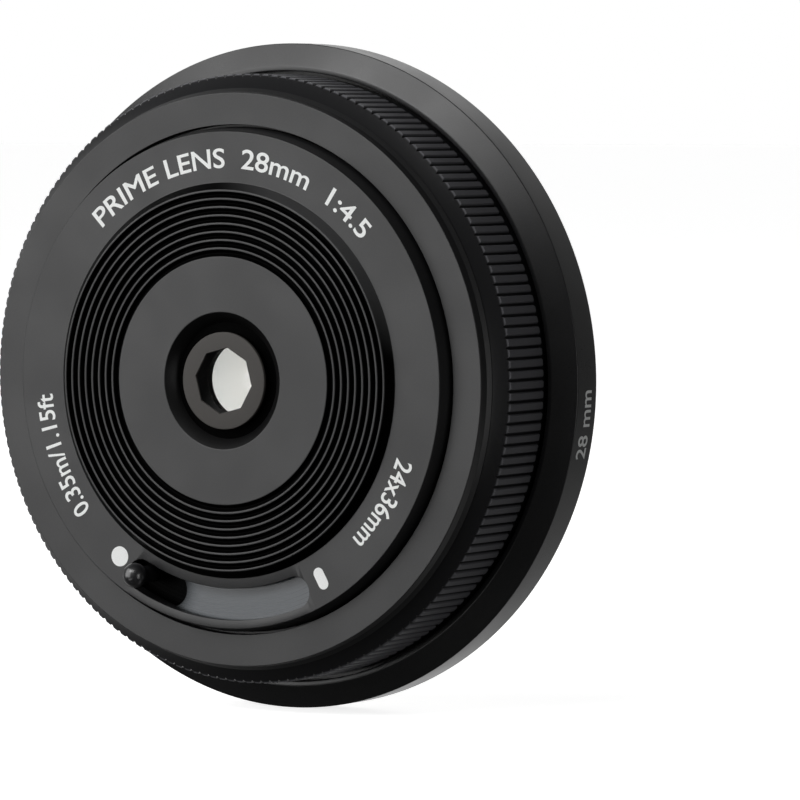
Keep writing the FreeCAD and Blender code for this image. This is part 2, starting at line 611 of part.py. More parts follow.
def small_parts():
    """Retaining rings, shim, sensor and screws, by node name."""
    return {
        "front_retainer": annulus(5.35, 5.85, 10.58, 11.2),
        "second_retainer": annulus(6.5, 6.95, 7.6, 7.88),
        "focus_retainer": annulus(9.35, 9.85, 2.95, 3.17),
        "rear_retainer": annulus(13.35, 14.05, -3.6, -3.28),
        "shim_ring": annulus(CELL_RADIUS + 0.1, 15.6, CHASSIS_WEB[1], 10.8),
        "magnet_ring": annulus(17.2, 18.9, 5.8, 8.8),
        "sensor_magnet": block(3.0, 1.0, 11.25, 5.2, 7.2),
        "position_sensor": block(2.4, 0.9, 12.7, 7.9, 9.0),
        "bayonet_screws": screws(MOUNT_SCREW_CIRCLE, MOUNT_SCREW_CLOCKS, 1.35, (0.12, 0.95), 0.8, 2.9),
        "chassis_screws": screws(CHASSIS_SCREW_CIRCLE, CHASSIS_SCREW_CLOCKS, 1.1, (1.75, 2.3), 0.6, 4.9),
        "cover_base_screws": screws(BASE_SCREW_CIRCLE, BASE_SCREW_CLOCKS, 1.05, (12.35, 11.9), 0.6, 10.3),
        "rear_cell_screws": screws(CELL_SCREW_CIRCLE, CELL_SCREW_CLOCKS, 0.9, (2.75, 3.15), 0.5, 5.3, 0.25),
        "board_screws": screws(BOARD_SCREW_CIRCLE, BOARD_SCREW_CLOCKS, 0.9, (1.4, BOARD[0]), 0.5, 3.6, 0.25),
        "baffle_screws": screws(18.7, (75, 285), 0.9, (BAFFLE[0] + 0.03, BAFFLE[0] + 0.45), 0.5, -0.3, 0.25),
        "contact_screws": screws(17.5, (144, 216), 0.95, (BAFFLE[0] - 0.35, BAFFLE[0]), 0.5, -2.7, 0.25),
    }


def build():
    blade = opened(cover_blade())
    pin = opened(drive_pin())
    nodes = {
        "front_cap": front_cap(),
        "position_marks": Part.makeCompound(position_marks(PLATE_FACE - 0.1, PLATE_FACE + 0.01)),
        "aperture_plate": aperture_plate(),
        "cover_base": cover_base(),
        "blade_pivot_pins": pivot_pins(),
        "cover_blade_left": blade,
        "cover_blade_right": spun(blade, 180),
        "drive_pin_left": pin,
        "drive_pin_right": spun(pin, 180),
        "lever_ring": lever_ring(),
        "lever_knob": lever_knob(),
        "front_ring": front_ring(),
        "grip_barrel": grip_barrel(),
        "rear_barrel": rear_barrel(),
        "index_dot": index_dot(),
        "chassis": chassis(),
        "bayonet_ring": bayonet_ring(),
        "rear_baffle": rear_baffle(),
        "contact_block": contact_block(),
        "contact_pads": contact_pads(),
        "contact_flex": contact_flex(),
        "usb_shell": usb_shell(),
        "usb_tongue": usb_tongue(),
        "main_board": main_board(),
        "board_chips": board_chips(),
        "front_cell": front_cell(),
        "focus_cell": focus_cell(),
        "focus_coil": focus_coil(),
        "yoke_ring": yoke_ring(),
        "guide_rods": guide_rods(),
        "rear_cell": rear_cell(),
    }
    for number, sizes in enumerate(ELEMENTS, start=1):
        nodes[f"element_{number}"] = element(*sizes)
    nodes.update(small_parts())
    return nodes


def main():
    os.makedirs("parts", exist_ok=True)
    for name, shape in build().items():
        shape.exportStep(os.path.join("parts", name + ".step"))
        valid = all(solid.isValid() for solid in shape.Solids)
        print(f"{name:20s} solids {len(shape.Solids)} volume {shape.Volume:9.2f} valid {valid}")


main()
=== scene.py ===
"""Finishes, engraving and studio for a pancake prime lens, built round its packed assembly.

The lens looks along -Y with +Z up, and its bayonet seat is the plane y = 0. Outlines here are in
millimetres, as (radius, depth) with the depth measured forwards from the seat. Clock angles run
clockwise from +Z, seen from the front.
"""

import contextlib
import json
import math

import bmesh
import bpy
from mathutils import Matrix, Vector


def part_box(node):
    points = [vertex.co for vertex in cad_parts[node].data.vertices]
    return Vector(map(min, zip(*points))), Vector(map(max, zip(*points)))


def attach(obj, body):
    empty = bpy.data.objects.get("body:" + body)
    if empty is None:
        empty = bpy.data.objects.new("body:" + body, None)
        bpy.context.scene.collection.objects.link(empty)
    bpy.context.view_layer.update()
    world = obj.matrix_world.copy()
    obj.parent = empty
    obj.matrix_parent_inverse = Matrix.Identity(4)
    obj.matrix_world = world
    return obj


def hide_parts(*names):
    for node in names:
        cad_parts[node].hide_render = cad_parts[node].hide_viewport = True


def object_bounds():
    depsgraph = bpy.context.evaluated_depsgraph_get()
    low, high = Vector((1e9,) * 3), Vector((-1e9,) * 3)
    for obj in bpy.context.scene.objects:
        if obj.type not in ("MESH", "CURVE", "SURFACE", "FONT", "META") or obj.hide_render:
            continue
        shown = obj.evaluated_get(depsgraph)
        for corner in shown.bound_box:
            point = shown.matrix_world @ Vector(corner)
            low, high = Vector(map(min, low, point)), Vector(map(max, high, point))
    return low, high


bl_info = {
    "name": "Pancake Prime Lens",
    "version": (1, 0, 0),
    "blender": (4, 5, 0),
    "location": "3D View > Sidebar > Lens",
    "description": "Builds the finished barrels, lettering and studio of a pancake prime lens",
    "category": "Object",
}

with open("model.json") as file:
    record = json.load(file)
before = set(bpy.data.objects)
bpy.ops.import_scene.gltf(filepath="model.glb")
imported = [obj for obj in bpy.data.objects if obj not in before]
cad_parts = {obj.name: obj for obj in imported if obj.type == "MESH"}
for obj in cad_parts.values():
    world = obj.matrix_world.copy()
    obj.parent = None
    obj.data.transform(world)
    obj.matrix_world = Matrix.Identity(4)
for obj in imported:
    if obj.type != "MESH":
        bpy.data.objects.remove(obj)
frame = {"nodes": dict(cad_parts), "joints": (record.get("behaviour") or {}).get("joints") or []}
cad_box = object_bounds()

MM = 0.001


# ---- sizes read from the assembly ----
def reach(node):
    """Largest radius, rear depth and front depth of a round node, in millimetres."""
    low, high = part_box(node)
    return high.x / MM, -high.y / MM, -low.y / MM


def seat_of(node):
    """Radius and clock angle of the middle of a node that stands off the axis."""
    low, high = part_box(node)
    middle = (low + high) / 2 / MM
    return math.hypot(middle.x, middle.z), math.degrees(math.atan2(middle.x, middle.z)) % 360


CAP_RADIUS, CAP_REAR, CAP_FRONT = reach("front_cap")
RING_RADIUS, RING_REAR, RING_FACE = reach("front_ring")
GRIP_RADIUS, GRIP_REAR, GRIP_FRONT = reach("grip_barrel")
BARREL_RADIUS, BARREL_REAR, BARREL_LIP = reach("rear_barrel")
STOP_FLANGE, STOP_REAR, STOP_FACE = reach("aperture_plate")
KNOB_CIRCLE, KNOB_CLOCK = seat_of("lever_knob")
LEVER_TRAVEL = next(j["range_deg"][1] for j in frame["joints"] if j["name"] == "cover_lever_turn")
PLATE_FACE = CAP_FRONT - 0.75
PLATE_EDGE = CAP_RADIUS - 0.35
LEVER_FACE = reach("lever_ring")[2]
DISC_EDGE = 11.06            # plain disc inside the cap's grooves
BOSS_EDGE = 17.01            # raised middle of the cap
BOSS_FOOT = 17.67            # where its sloping shoulder meets the name plate


# ---- settings ----
def length(name, description, millimetres):
    return bpy.props.FloatProperty(name=name, description=description, default=millimetres * MM, unit="LENGTH",
                                   precision=5)


def number(name, description, value):
    return bpy.props.FloatProperty(name=name, description=description, default=value)


def angle(name, description, degrees):
    return bpy.props.FloatProperty(name=name, description=description, default=math.radians(degrees),
                                   unit="ROTATION")


def colour(name, description, value):
    return bpy.props.FloatVectorProperty(name=name, description=description, default=value, size=3,
                                         subtype="COLOR", min=0.0, max=1.0)


class LENS_PG_sizes(bpy.types.PropertyGroup):
    edge: length("Edge break", "How far a machined edge is eased back", 0.06)
    crest_count: bpy.props.IntProperty(name="Crests", description="Ridges round the plain disc", default=8, min=1)
    crest_pitch: length("Crest pitch", "Distance from one ridge to the next", 0.734)
    groove_depth: length("Groove depth", "Depth of the grooves between the ridges", 0.32)
    rib_count: bpy.props.IntProperty(name="Ribs", description="Ribs round the grip", default=180, min=12)
    rib_depth: length("Rib depth", "Depth of the grooves between the grip's ribs", 0.26)
    letter_height: length("Letter height", "Height of the capitals on the front plate", 1.70)
    letter_circle: length("Letter circle", "Radius of the lettering's baseline", 18.97)
    paint: length("Paint film", "Thickness of the lettering's paint", 0.012)


class LENS_PG_colours(bpy.types.PropertyGroup):
    anodised: colour("Anodised", "Bead-blasted black on the barrels", (0.0075, 0.0075, 0.0080))
    grip: colour("Grip", "Black on the ribbed grip", (0.013, 0.013, 0.014))
    stop: colour("Stop plate", "Brownish matt black of the stop", (0.058, 0.054, 0.050))
    lever: colour("Lever ring", "Blue-grey satin of the lever ring", (0.060, 0.067, 0.074))
    knob: colour("Knob", "Satin black of the knob", (0.010, 0.010, 0.011))
    paint: colour("Lettering", "Off-white paint of letters and marks", (0.80, 0.81, 0.80))
    mount: colour("Mount", "Bright machined metal of the bayonet", (0.62, 0.61, 0.59))
    plastic: colour("Moulded black", "Matt moulded plastic", (0.014, 0.014, 0.014))
    floor: colour("Floor", "Pale studio floor", (0.86, 0.86, 0.86))


class LENS_PG_studio(bpy.types.PropertyGroup):
    azimuth: angle("Azimuth", "Camera's turn round the lens from straight ahead", 31.55)
    elevation: angle("Elevation", "Camera's height above the optical axis", 2.78)
    distance: length("Distance", "From the camera to the lens", 519.9)
    offset_right: length("Shift right", "Sideways step of the camera", 8.24)
    offset_up: length("Shift up", "Upward step of the camera", -2.30)
    focal_length: number("Focal length", "On a 36 mm wide sensor, in millimetres", 256.5)
    key: number("Key", "Radiance of the front-left softbox", 3.05)
    top: number("Top", "Radiance of the high front softbox", 4.0)
    low: number("Low", "Radiance of the low front strip", 2.0)
    side: number("Side", "Radiance of the strip on the right", 2.7)
    surround: number("Surround", "Radiance of the dim studio all round", 0.07)
    backdrop: number("Backdrop", "Radiance of the bright backdrop behind the lens", 1.0)


def sizes():
    return bpy.context.scene.lens_sizes


def colours():
    return bpy.context.scene.lens_colours


def studio():
    return bpy.context.scene.lens_studio


# ---- node trees ----
def shade_of(tint, factor):
    return tuple(min(1.0, channel * factor) for channel in tint)


class Signal:
    """A shader socket that takes part in arithmetic: each operation adds one Math node."""

    def __init__(self, nodes, socket):
        self.nodes = nodes
        self.socket = socket

    def maths(self, operation, first, second):
        return self.nodes.add("ShaderNodeMath", {"operation": operation}, {0: first, 1: second})

    def __add__(self, other):
        return self.maths("ADD", self, other)

    def __sub__(self, other):
        return self.maths("SUBTRACT", self, other)

    def __rsub__(self, other):
        return self.maths("SUBTRACT", other, self)

    def __mul__(self, other):
        return self.maths("MULTIPLY", self, other)

    __radd__ = __add__
    __rmul__ = __mul__


class Nodes:
    """Builds a node tree."""

    def __init__(self, tree):
        self.tree = tree

    def add(self, kind, settings=None, sockets=None, output=0):
        """Adds a node: its settings first, then the value or link of each named socket."""
        made = self.tree.nodes.new(kind)
        for setting, value in (settings or {}).items():
            if setting == "stops":
                ramp = made.color_ramp
                while len(ramp.elements) < len(value):
                    ramp.elements.new(0.5)
                for element, (position, shade) in zip(ramp.elements, value):
                    element.position = position
                    element.color = (shade, shade, shade, 1.0)
            else:
                setattr(made, setting, value)
        for socket, value in (sockets or {}).items():
            self.feed(made.inputs[socket], value)
        return Signal(self, made.outputs[output])

    def ranged(self, value, low, high, to_low=0.0, to_high=1.0):
        """Value's range from low to high, spread smoothly over another range."""
        return self.add("ShaderNodeMapRange", {"interpolation_type": "SMOOTHSTEP"},
                        {"Value": value, "From Min": low, "From Max": high, "To Min": to_low, "To Max": to_high})

    def feed(self, socket, value):
        if isinstance(value, Signal):
            self.tree.links.new(value.socket, socket)
        else:
            socket.default_value = value


class Finish(Nodes):
    """A material with one Principled shader, whose patterns read object coordinates."""

    def __init__(self, name, constants):
        self.material = bpy.data.materials.new(name)
        self.material.use_nodes = True
        super().__init__(self.material.node_tree)
        self.shader = self.tree.nodes["Principled BSDF"]
        for socket, value in constants.items():
            self.shader.inputs[socket].default_value = value
        self.place = self.add("ShaderNodeTexCoord", output="Object")

    def noise(self, size, detail=2.0):
        """Noise from 0 to 1 whose grains are about size millimetres across."""
        return self.add("ShaderNodeTexNoise", None, {"Vector": self.place, "Scale": 1 / (size * MM),
                                                     "Detail": detail})

    def rings(self, along, pitch, detail):
        """Noise from 0 to 1 that changes along one length only, with lines about pitch millimetres apart."""
        return self.add("ShaderNodeTexNoise", {"noise_dimensions": "1D"},
                        {"W": along, "Scale": 1 / (pitch * MM), "Detail": detail})

    def wave(self, along, pitch):
        """Sine from -1 to 1 along one length, repeating every pitch millimetres."""
        return self.add("ShaderNodeMath", {"operation": "SINE"}, {0: along * (2 * math.pi / (pitch * MM))})

    def mixed(self, first, second, share):
        """Colour between two, by share."""
        return self.add("ShaderNodeMix", {"data_type": "RGBA"}, {"Factor": share, "A": (*first, 1.0),
                                                                 "B": (*second, 1.0)}, output=2)

    def axes(self):
        """X, Y and Z of the object coordinates."""
        split = self.tree.nodes.new("ShaderNodeSeparateXYZ")
        self.feed(split.inputs[0], self.place)
        return [Signal(self, output) for output in split.outputs]

    def radius(self):
        """Distance from the optical axis."""
        flat = self.add("ShaderNodeVectorMath", {"operation": "MULTIPLY"}, {0: self.place, 1: (1.0, 0.0, 1.0)})
        return self.add("ShaderNodeVectorMath", {"operation": "LENGTH"}, {0: flat}, output="Value")

    def along(self):
        """Y of the object coordinates, which runs along the optical axis."""
        return self.axes()[1]

    def blacken(self, share):
        """Turns the surface into unlit metal by share, which with a near-black colour is dead black."""
        self.feed(self.shader.inputs["Metallic"], share)

    def paint(self, value):
        self.feed(self.shader.inputs["Base Color"], value)

    def tinted(self, tint, low, high, share):
        """Paints with a tint made darker or lighter, from low times it to high times it by share."""
        self.paint(self.mixed(shade_of(tint, low), shade_of(tint, high), share))

    def roughen(self, value):
        self.feed(self.shader.inputs["Roughness"], value)

    def emboss(self, height, distance):
        """Bumps the surface by height, times distance in millimetres."""
        bump = self.add("ShaderNodeBump", None, {"Strength": 1.0, "Distance": distance * MM, "Height": height})
        self.feed(self.shader.inputs["Normal"], bump)


# ---- finishes ----
# Colour of painted shade: with full metallic it renders dead black wherever shade is painted in.
PAINTED_SHADE_BLACK = (0.001, 0.001, 0.001)
BLAST_GRAIN = 0.11           # size of the grain that bead-blasting leaves


def blasted(name, tint, roughness):
    """Bead-blasted and anodised metal: a fine frosted grain over a slightly cloudy black."""
    finish = Finish(name, {"Specular IOR Level": 0.5})
    frost = finish.noise(BLAST_GRAIN, 3.0)
    cloud = finish.noise(6.0, 2.0)
    finish.tinted(tint, 0.72, 1.35, finish.ranged(frost, 0.3, 0.7))
    finish.roughen(finish.ranged(cloud, 0.3, 0.7, roughness - 0.03, roughness + 0.03) + (frost - 0.5) * 0.10)
    finish.emboss(frost, 0.004)
    return finish.material


def cap_anodised(name, tint, roughness):
    """Blasted anodising, with painted shade: dead black in the cap's fine grooves, darker in the recess round its
    stop.
    """
    finish = Finish(name, {"Specular IOR Level": 0.5})
    x, y, z = finish.axes()
    around = finish.radius()
    sunk = finish.ranged(y, -(CAP_FRONT - 0.015) * MM, -(CAP_FRONT - 0.06) * MM)
    ahead = finish.ranged(y, -(PLATE_FACE - 1.0) * MM, -(PLATE_FACE - 0.9) * MM)
    boss = finish.ranged(around, (BOSS_EDGE + 0.02) * MM, (BOSS_EDGE - 0.02) * MM)
    grooved = boss * finish.ranged(around, RECESS_MOUTH * MM, DISC_EDGE * MM, 0.62, 1.0)
    shoulder = finish.ranged(around, BOSS_FOOT * MM, (BOSS_FOOT - 0.04) * MM) - boss
    # Painted shade on the side of the boss's shoulder away from the upper right.
    painted_side_shade = finish.ranged(x * 0.64 + z * 0.77, 16.5 * MM, 12.5 * MM)
    # Painted shade: dead black in the grooves, darker in the recess round the stop and on the shoulder's shaded
    # side.
    painted_shade = sunk * ahead * (grooved + shoulder * painted_side_shade)
    frost = finish.noise(BLAST_GRAIN, 3.0)
    cloud = finish.noise(6.0, 2.0)
    light = finish.ranged(frost, 0.3, 0.7, 0.5, 1.0) * (1.0 - painted_shade)
    finish.paint(finish.mixed(PAINTED_SHADE_BLACK, shade_of(tint, 1.35), light))
    finish.blacken(painted_shade)
    flange = finish.ranged(y, -(BARREL_LIP + 1.2) * MM, -(BARREL_LIP + 0.6) * MM)
    finish.roughen(finish.ranged(cloud, 0.3, 0.7, roughness - 0.03, roughness + 0.03) + (frost - 0.5) * 0.10
                   - flange * 0.14)
    finish.emboss(frost, 0.004)
    return finish.material


def ribbed_grip(name, tint):
    """Grip whose rib crests are matt and painted paler than its grooves and front cone, partly as painted light."""
    finish = Finish(name, {"Specular IOR Level": 0.25})
    frost = finish.noise(BLAST_GRAIN, 3.0)
    crest = finish.ranged(finish.radius(), (GRIP_RADIUS - 0.20) * MM, (GRIP_RADIUS - 0.05) * MM)
    # Crests painted paler than grooves and front cone: partly a lighter finish, partly painted light on the crests.
    finish.tinted(tint, 0.8, 7.6, crest * (frost * 0.5 + 0.7))
    finish.roughen(finish.ranged(crest, 0.0, 1.0, 0.30, 0.50) + (frost - 0.5) * 0.08)
    finish.emboss(frost, 0.003)
    return finish.material


def stop_coating(name, tint):
    """Matt brownish coating on the stop's boss, over a flange painted dead black as shade."""
    finish = Finish(name, {"Specular IOR Level": 0.3})
    boss = finish.ranged(finish.along(), -(STOP_FACE - 0.32) * MM, -(STOP_FACE - 0.22) * MM)
    frost = finish.noise(0.08, 3.0)
    # Painted shade: outside the boss the flange is dead black, unlit metal.
    finish.paint(finish.mixed(PAINTED_SHADE_BLACK, tint, boss * finish.ranged(frost, 0.3, 0.7, 0.7, 1.0)))
    finish.blacken(1.0 - boss)
    finish.roughen(finish.ranged(frost, 0.3, 0.7, 0.55, 0.68))
    finish.emboss(frost, 0.004)
    return finish.material


def turned_metal(name, tint, roughness, pitch=0.05):
    """Bright metal with the fine rings that a lathe tool leaves."""
    finish = Finish(name, {"Metallic": 1.0})
    lines = finish.rings(finish.radius() + finish.along(), pitch, 2.0)
    haze = finish.noise(2.5, 3.0)
    finish.tinted(tint, 0.88, 1.08, finish.ranged(haze, 0.3, 0.7))
    finish.roughen(finish.ranged(lines, 0.3, 0.7, roughness - 0.06, roughness + 0.08))
    finish.emboss(lines, 0.0012)
    return finish.material


def moulded(name, tint, roughness, grain=0.18):
    """Moulded plastic with a fine spark-eroded texture."""
    finish = Finish(name, {"Specular IOR Level": 0.45})
    grit = finish.noise(grain, 4.0)
    cloud = finish.noise(3.0, 2.0)
    finish.tinted(tint, 0.8, 1.25, finish.ranged(cloud, 0.3, 0.7))
    finish.roughen(finish.ranged(grit, 0.3, 0.7, roughness - 0.06, roughness + 0.06))
    finish.emboss(grit, 0.006)
    return finish.material


def plated(name, tint, roughness):
    """Small plated part: smooth metal with faint handling haze."""
    finish = Finish(name, {"Metallic": 1.0})
    haze = finish.noise(0.6, 4.0)
    finish.tinted(tint, 0.85, 1.1, finish.ranged(haze, 0.3, 0.7))
    finish.roughen(finish.ranged(haze, 0.35, 0.65, roughness - 0.05, roughness + 0.09))
    finish.emboss(finish.noise(0.12), 0.002)
    return finish.material


def screen_paint(name, tint):
    """Screen-printed paint: even, slightly pebbled and a little thin in places."""
    finish = Finish(name, {"Specular IOR Level": 0.4})
    pebble = finish.noise(0.07, 2.0)
    finish.tinted(tint, 0.93, 1.04, finish.ranged(pebble, 0.35, 0.65))
    finish.roughen(finish.ranged(pebble, 0.3, 0.7, 0.42, 0.55))
    finish.emboss(pebble, 0.002)
    return finish.material


def satin_knob(name, tint):
    """Black-plated ball with a satin polish and a trace of wear."""
    finish = Finish(name, {"Coat Roughness": 0.16, "Specular IOR Level": 0.6})
    wear = finish.noise(0.35, 4.0)
    finish.tinted(tint, 1.0, 2.2, finish.ranged(wear, 0.5, 0.8))
    finish.roughen(finish.ranged(wear, 0.3, 0.8, 0.30, 0.40))
    finish.feed(finish.shader.inputs["Coat Weight"], finish.ranged(wear, 0.2, 0.8, 0.6, 0.4))
    finish.emboss(finish.noise(0.25), 0.001)
    return finish.material


def lever_satin(name, tint):
    """Lever ring: brushed satin, with shade painted dead black in the hollow round the knob and on faces sunk below
    its rim.
    """
    finish = Finish(name, {"Specular IOR Level": 0.5})
    knob = at(KNOB_CIRCLE, KNOB_CLOCK, LEVER_FACE)
    away = finish.add("ShaderNodeVectorMath", {"operation": "DISTANCE"}, {0: finish.place, 1: tuple(knob)},
                      output="Value")
    frost = finish.noise(0.10, 3.0)
    brushed = finish.rings(finish.radius(), 0.09, 3.0)
    # Painted shade: dead black within a few millimetres of the knob and on faces sunk below the rim.
    outside_painted_shade = (finish.ranged(away, 3.7 * MM, 6.2 * MM)
           * finish.ranged(finish.along(), -(LEVER_FACE - 0.45) * MM, -(LEVER_FACE - 0.65) * MM, 1.0, 0.0))
    light = outside_painted_shade * finish.ranged(brushed + frost * 0.4, 0.4, 0.95, 0.65, 1.0)
    finish.paint(finish.mixed(PAINTED_SHADE_BLACK, shade_of(tint, 1.3), light))
    finish.blacken(1.0 - outside_painted_shade)
    finish.roughen(finish.ranged(brushed, 0.3, 0.7, 0.26, 0.44))
    finish.emboss(frost + brushed * 0.8, 0.003)
    return finish.material


def coated_glass(name, tint):
    """Optical glass with an anti-reflection film and a trace of haze towards its edge."""
    finish = Finish(name, {"Transmission Weight": 1.0, "IOR": 1.5, "Specular IOR Level": 0.33,
                           "Thin Film Thickness": 105.0, "Thin Film IOR": 1.38})
    haze = finish.noise(4.0, 1.0)
    finish.tinted(tint, 0.985, 1.0, finish.ranged(haze, 0.3, 0.7))
    finish.roughen(finish.ranged(finish.radius(), 0.002, 0.015, 0.0, 0.01))
    return finish.material


def woven_board(name, tint):
    """Circuit board: green mask over a faint weave."""
    finish = Finish(name, {"Specular IOR Level": 0.5})
    x, y, z = finish.axes()
    weave = finish.wave(x, 0.4) * finish.wave(z, 0.4) * 0.5 + 0.5
    finish.tinted(tint, 0.75, 1.2, weave)
    finish.roughen(finish.ranged(finish.noise(0.8), 0.3, 0.7, 0.28, 0.42))
    finish.emboss(weave, 0.004)
    return finish.material


def wound_wire(name, tint):
    """Enamelled wire laid side by side along the coil."""
    finish = Finish(name, {"Metallic": 1.0})
    turns = finish.wave(finish.along(), 0.12)
    finish.tinted(tint, 0.6, 1.1, turns * 0.5 + 0.5)
    finish.roughen(finish.ranged(finish.noise(0.5), 0.3, 0.7, 0.25, 0.4))
    finish.emboss(turns, 0.02)
    return finish.material


def pale_floor(name, tint):
    """Matt studio floor with barely visible mottling."""
    finish = Finish(name, {"Specular IOR Level": 0.1, "Roughness": 0.8, "Emission Strength": 0.93})
    mottle = finish.noise(40.0, 3.0)
    finish.tinted(tint, 0.985, 1.0, mottle)
    finish.feed(finish.shader.inputs["Emission Color"], (*tint, 1.0))
    return finish.material


def make_finishes():
    """Every finish of the lens, by the material slot that it belongs to."""
    tints = colours()
    recipes = {
        "anodised_black": (cap_anodised, tints.anodised, 0.46),
        "grip_anodised": (ribbed_grip, tints.grip),
        "stop_black": (stop_coating, tints.stop),
        "inner_black_composite": (moulded, (0.008, 0.008, 0.008), 0.6),
        "lever_coated": (lever_satin, tints.lever),
        "knob_black": (satin_knob, tints.knob),
        "blade_steel": (plated, (0.05, 0.05, 0.055), 0.35),
        "white_paint": (screen_paint, tints.paint),
        "mount_metal": (turned_metal, tints.mount, 0.24),
        "screw_steel": (turned_metal, (0.50, 0.49, 0.48), 0.3, 0.03),
        "screw_black": (plated, (0.03, 0.03, 0.03), 0.4),
        "pin_steel": (plated, (0.55, 0.55, 0.55), 0.25),
        "baffle_plastic": (moulded, tints.plastic, 0.55),
        "contact_gold": (plated, (0.90, 0.62, 0.25), 0.2),
        "flex_amber": (moulded, (0.45, 0.20, 0.04), 0.35, 0.4),
        "usb_steel": (plated, (0.52, 0.52, 0.53), 0.28),
        "usb_plastic": (moulded, (0.012, 0.012, 0.012), 0.45),
        "board_green": (woven_board, (0.010, 0.075, 0.030)),
        "chip_black": (moulded, (0.018, 0.018, 0.018), 0.5),
        "focus_plastic": (moulded, (0.020, 0.020, 0.022), 0.5),
        "copper_wire": (wound_wire, (0.72, 0.33, 0.14)),
        "magnet_nickel": (plated, (0.60, 0.58, 0.54), 0.22),
        "yoke_steel": (turned_metal, (0.42, 0.42, 0.43), 0.35),
        "brass_shim": (turned_metal, (0.70, 0.50, 0.20), 0.3),
        "retainer_black": (blasted, (0.012, 0.012, 0.012), 0.5),
        "coated_glass": (coated_glass, (0.964, 0.957, 0.945)),
    }
    return {slot: kind(f"{slot}_finish", *values) for slot, (kind, *values) in recipes.items()}


# ---- meshes ----
def at(radius, clock, depth):
    """Point in metres from a radius, a clock angle and a depth."""
    turn = math.radians(clock)
    return Vector((radius * math.sin(turn), -depth, radius * math.cos(turn))) * MM


def eased(corners, edge, steps=3):
    """Outline with each corner rounded back by edge, or by the corner's own third number."""
    points = []
    for index, corner in enumerate(corners):
        here = Vector(corner[:2])
        before = Vector(corners[index - 1][:2]) - here
        after = Vector(corners[(index + 1) % len(corners)][:2]) - here
        back = min(corner[2] if len(corner) > 2 else edge, 0.45 * before.length, 0.45 * after.length)
        if back == 0:
            points.append(here)
            continue
        start, end = here + before.normalized() * back, here + after.normalized() * back
        for step in range(steps + 1):
            t = step / steps
            points.append(start * (1 - t) ** 2 + here * (2 * t * (1 - t)) + end * t ** 2)
    return points


@contextlib.contextmanager
def edited(mesh):
    """Opens a mesh for editing and writes it back."""
    bm = bmesh.new()
    bm.from_mesh(mesh)
    yield bm
    bm.to_mesh(mesh)
    bm.free()


def outward(mesh):
    """Turns a closed mesh's faces outwards."""
    with edited(mesh) as bm:
        bmesh.ops.recalc_face_normals(bm, faces=bm.faces)


def mesh_of(name, points, faces):
    """Closed mesh with its faces turned outwards."""
    mesh = bpy.data.meshes.new(name)
    mesh.from_pydata([tuple(p) for p in points], [], faces)
    outward(mesh)
    return mesh


def loft(name, rings, closed):
    """Mesh through rings of points: a ring of one point is a pole, and a closed loft joins last to first."""
    points, starts, faces = [], [], []
    for ring in rings:
        starts.append((len(points), len(ring)))
        points += ring
    around = max(len(ring) for ring in rings)
    pairs = list(zip(starts, starts[1:] + starts[:1]))
    for (first, first_size), (second, second_size) in pairs if closed else pairs[:-1]:
        for k in range(around):
            n = k + 1
            corners = [first + k % first_size, first + n % first_size,
                       second + n % second_size, second + k % second_size]
            faces.append(list(dict.fromkeys(corners)))
    return mesh_of(name, points, faces)


def turned(name, outline, segments=256, closed=True):
    """Solid of revolution from an outline of (radius, depth) points. Points on the axis become poles."""
    rings = []
    for radius, depth in outline:
        count = segments if radius > 1e-6 else 1
        rings.append([at(radius, 360 * k / segments, depth) for k in range(count)])
    return loft(name, rings, closed)


def stadium(first, second, half, depth, steps=16):
    """Ring of points half away from the line between two (x, z) places: a slot's outline at one depth."""
    first, second = Vector(first), Vector(second)
    along = (second - first).normalized() if (second - first).length > 1e-9 else Vector((0.0, 1.0))
    side = Vector((along.y, -along.x))
    ring = []
    for centre, forward in ((second, 1), (first, -1)):
        for step in range(steps + 1):
            t = math.pi * step / steps
            place = centre + (side * math.cos(t) + along * math.sin(t)) * half * forward
            ring.append(Vector((place.x, -depth, place.y)) * MM)
    return ring


def arc_stadium(circle, clock_from, clock_to, half, depth):
    """Outline at one depth of a slot that follows a circle about the axis."""
    steps = 16
    ring = []
    span = clock_to - clock_from
    for forward, start in ((1, clock_from), (-1, clock_to)):
        for step in range(3 * steps):
            ring.append(at(circle + half * forward, start + forward * span * step / (3 * steps), depth))
        centre = at(circle, clock_to if forward == 1 else clock_from, depth)
        outward = centre.copy()
        outward.y = 0
        outward.normalize()
        onward = Vector((outward.z, 0, -outward.x))
        for step in range(steps):
            t = math.pi * step / steps
            ring.append(centre + (outward * math.cos(t) + onward * math.sin(t)) * half * MM * forward)
    return ring


def capped(name, rings):
    """Closed solid through rings of equal length, with a flat face over each end."""
    count = len(rings[0])
    points = [p for ring in rings for p in ring]
    faces = [list(range(count)), list(range(len(points) - count, len(points)))]
    for level in range(len(rings) - 1):
        base = level * count
        for k in range(count):
            n = (k + 1) % count
            faces.append([base + k, base + n, base + count + n, base + count + k])
    return mesh_of(name, points, faces)


def shown(name, mesh, material):
    """Puts a mesh in the scene under a name, with one material."""
    obj = bpy.data.objects.new(name, mesh)
    bpy.context.scene.collection.objects.link(obj)
    mesh.materials.clear()
    mesh.materials.append(material)
    return obj


def evaluated(obj):
    """Plain mesh of an object with its modifiers applied."""
    bpy.context.view_layer.update()
    return bpy.data.meshes.new_from_object(obj.evaluated_get(bpy.context.evaluated_depsgraph_get()))


def cut(obj, cutters):
    """Cuts closed meshes out of an object."""
    for mesh in cutters:
        cutter = bpy.data.objects.new("cutter", mesh)
        bpy.context.scene.collection.objects.link(cutter)
        change = obj.modifiers.new("Cut", "BOOLEAN")
        change.object = cutter
        change.solver = "EXACT"
        obj.data = evaluated(obj)
        obj.modifiers.remove(change)
        bpy.data.objects.remove(cutter)


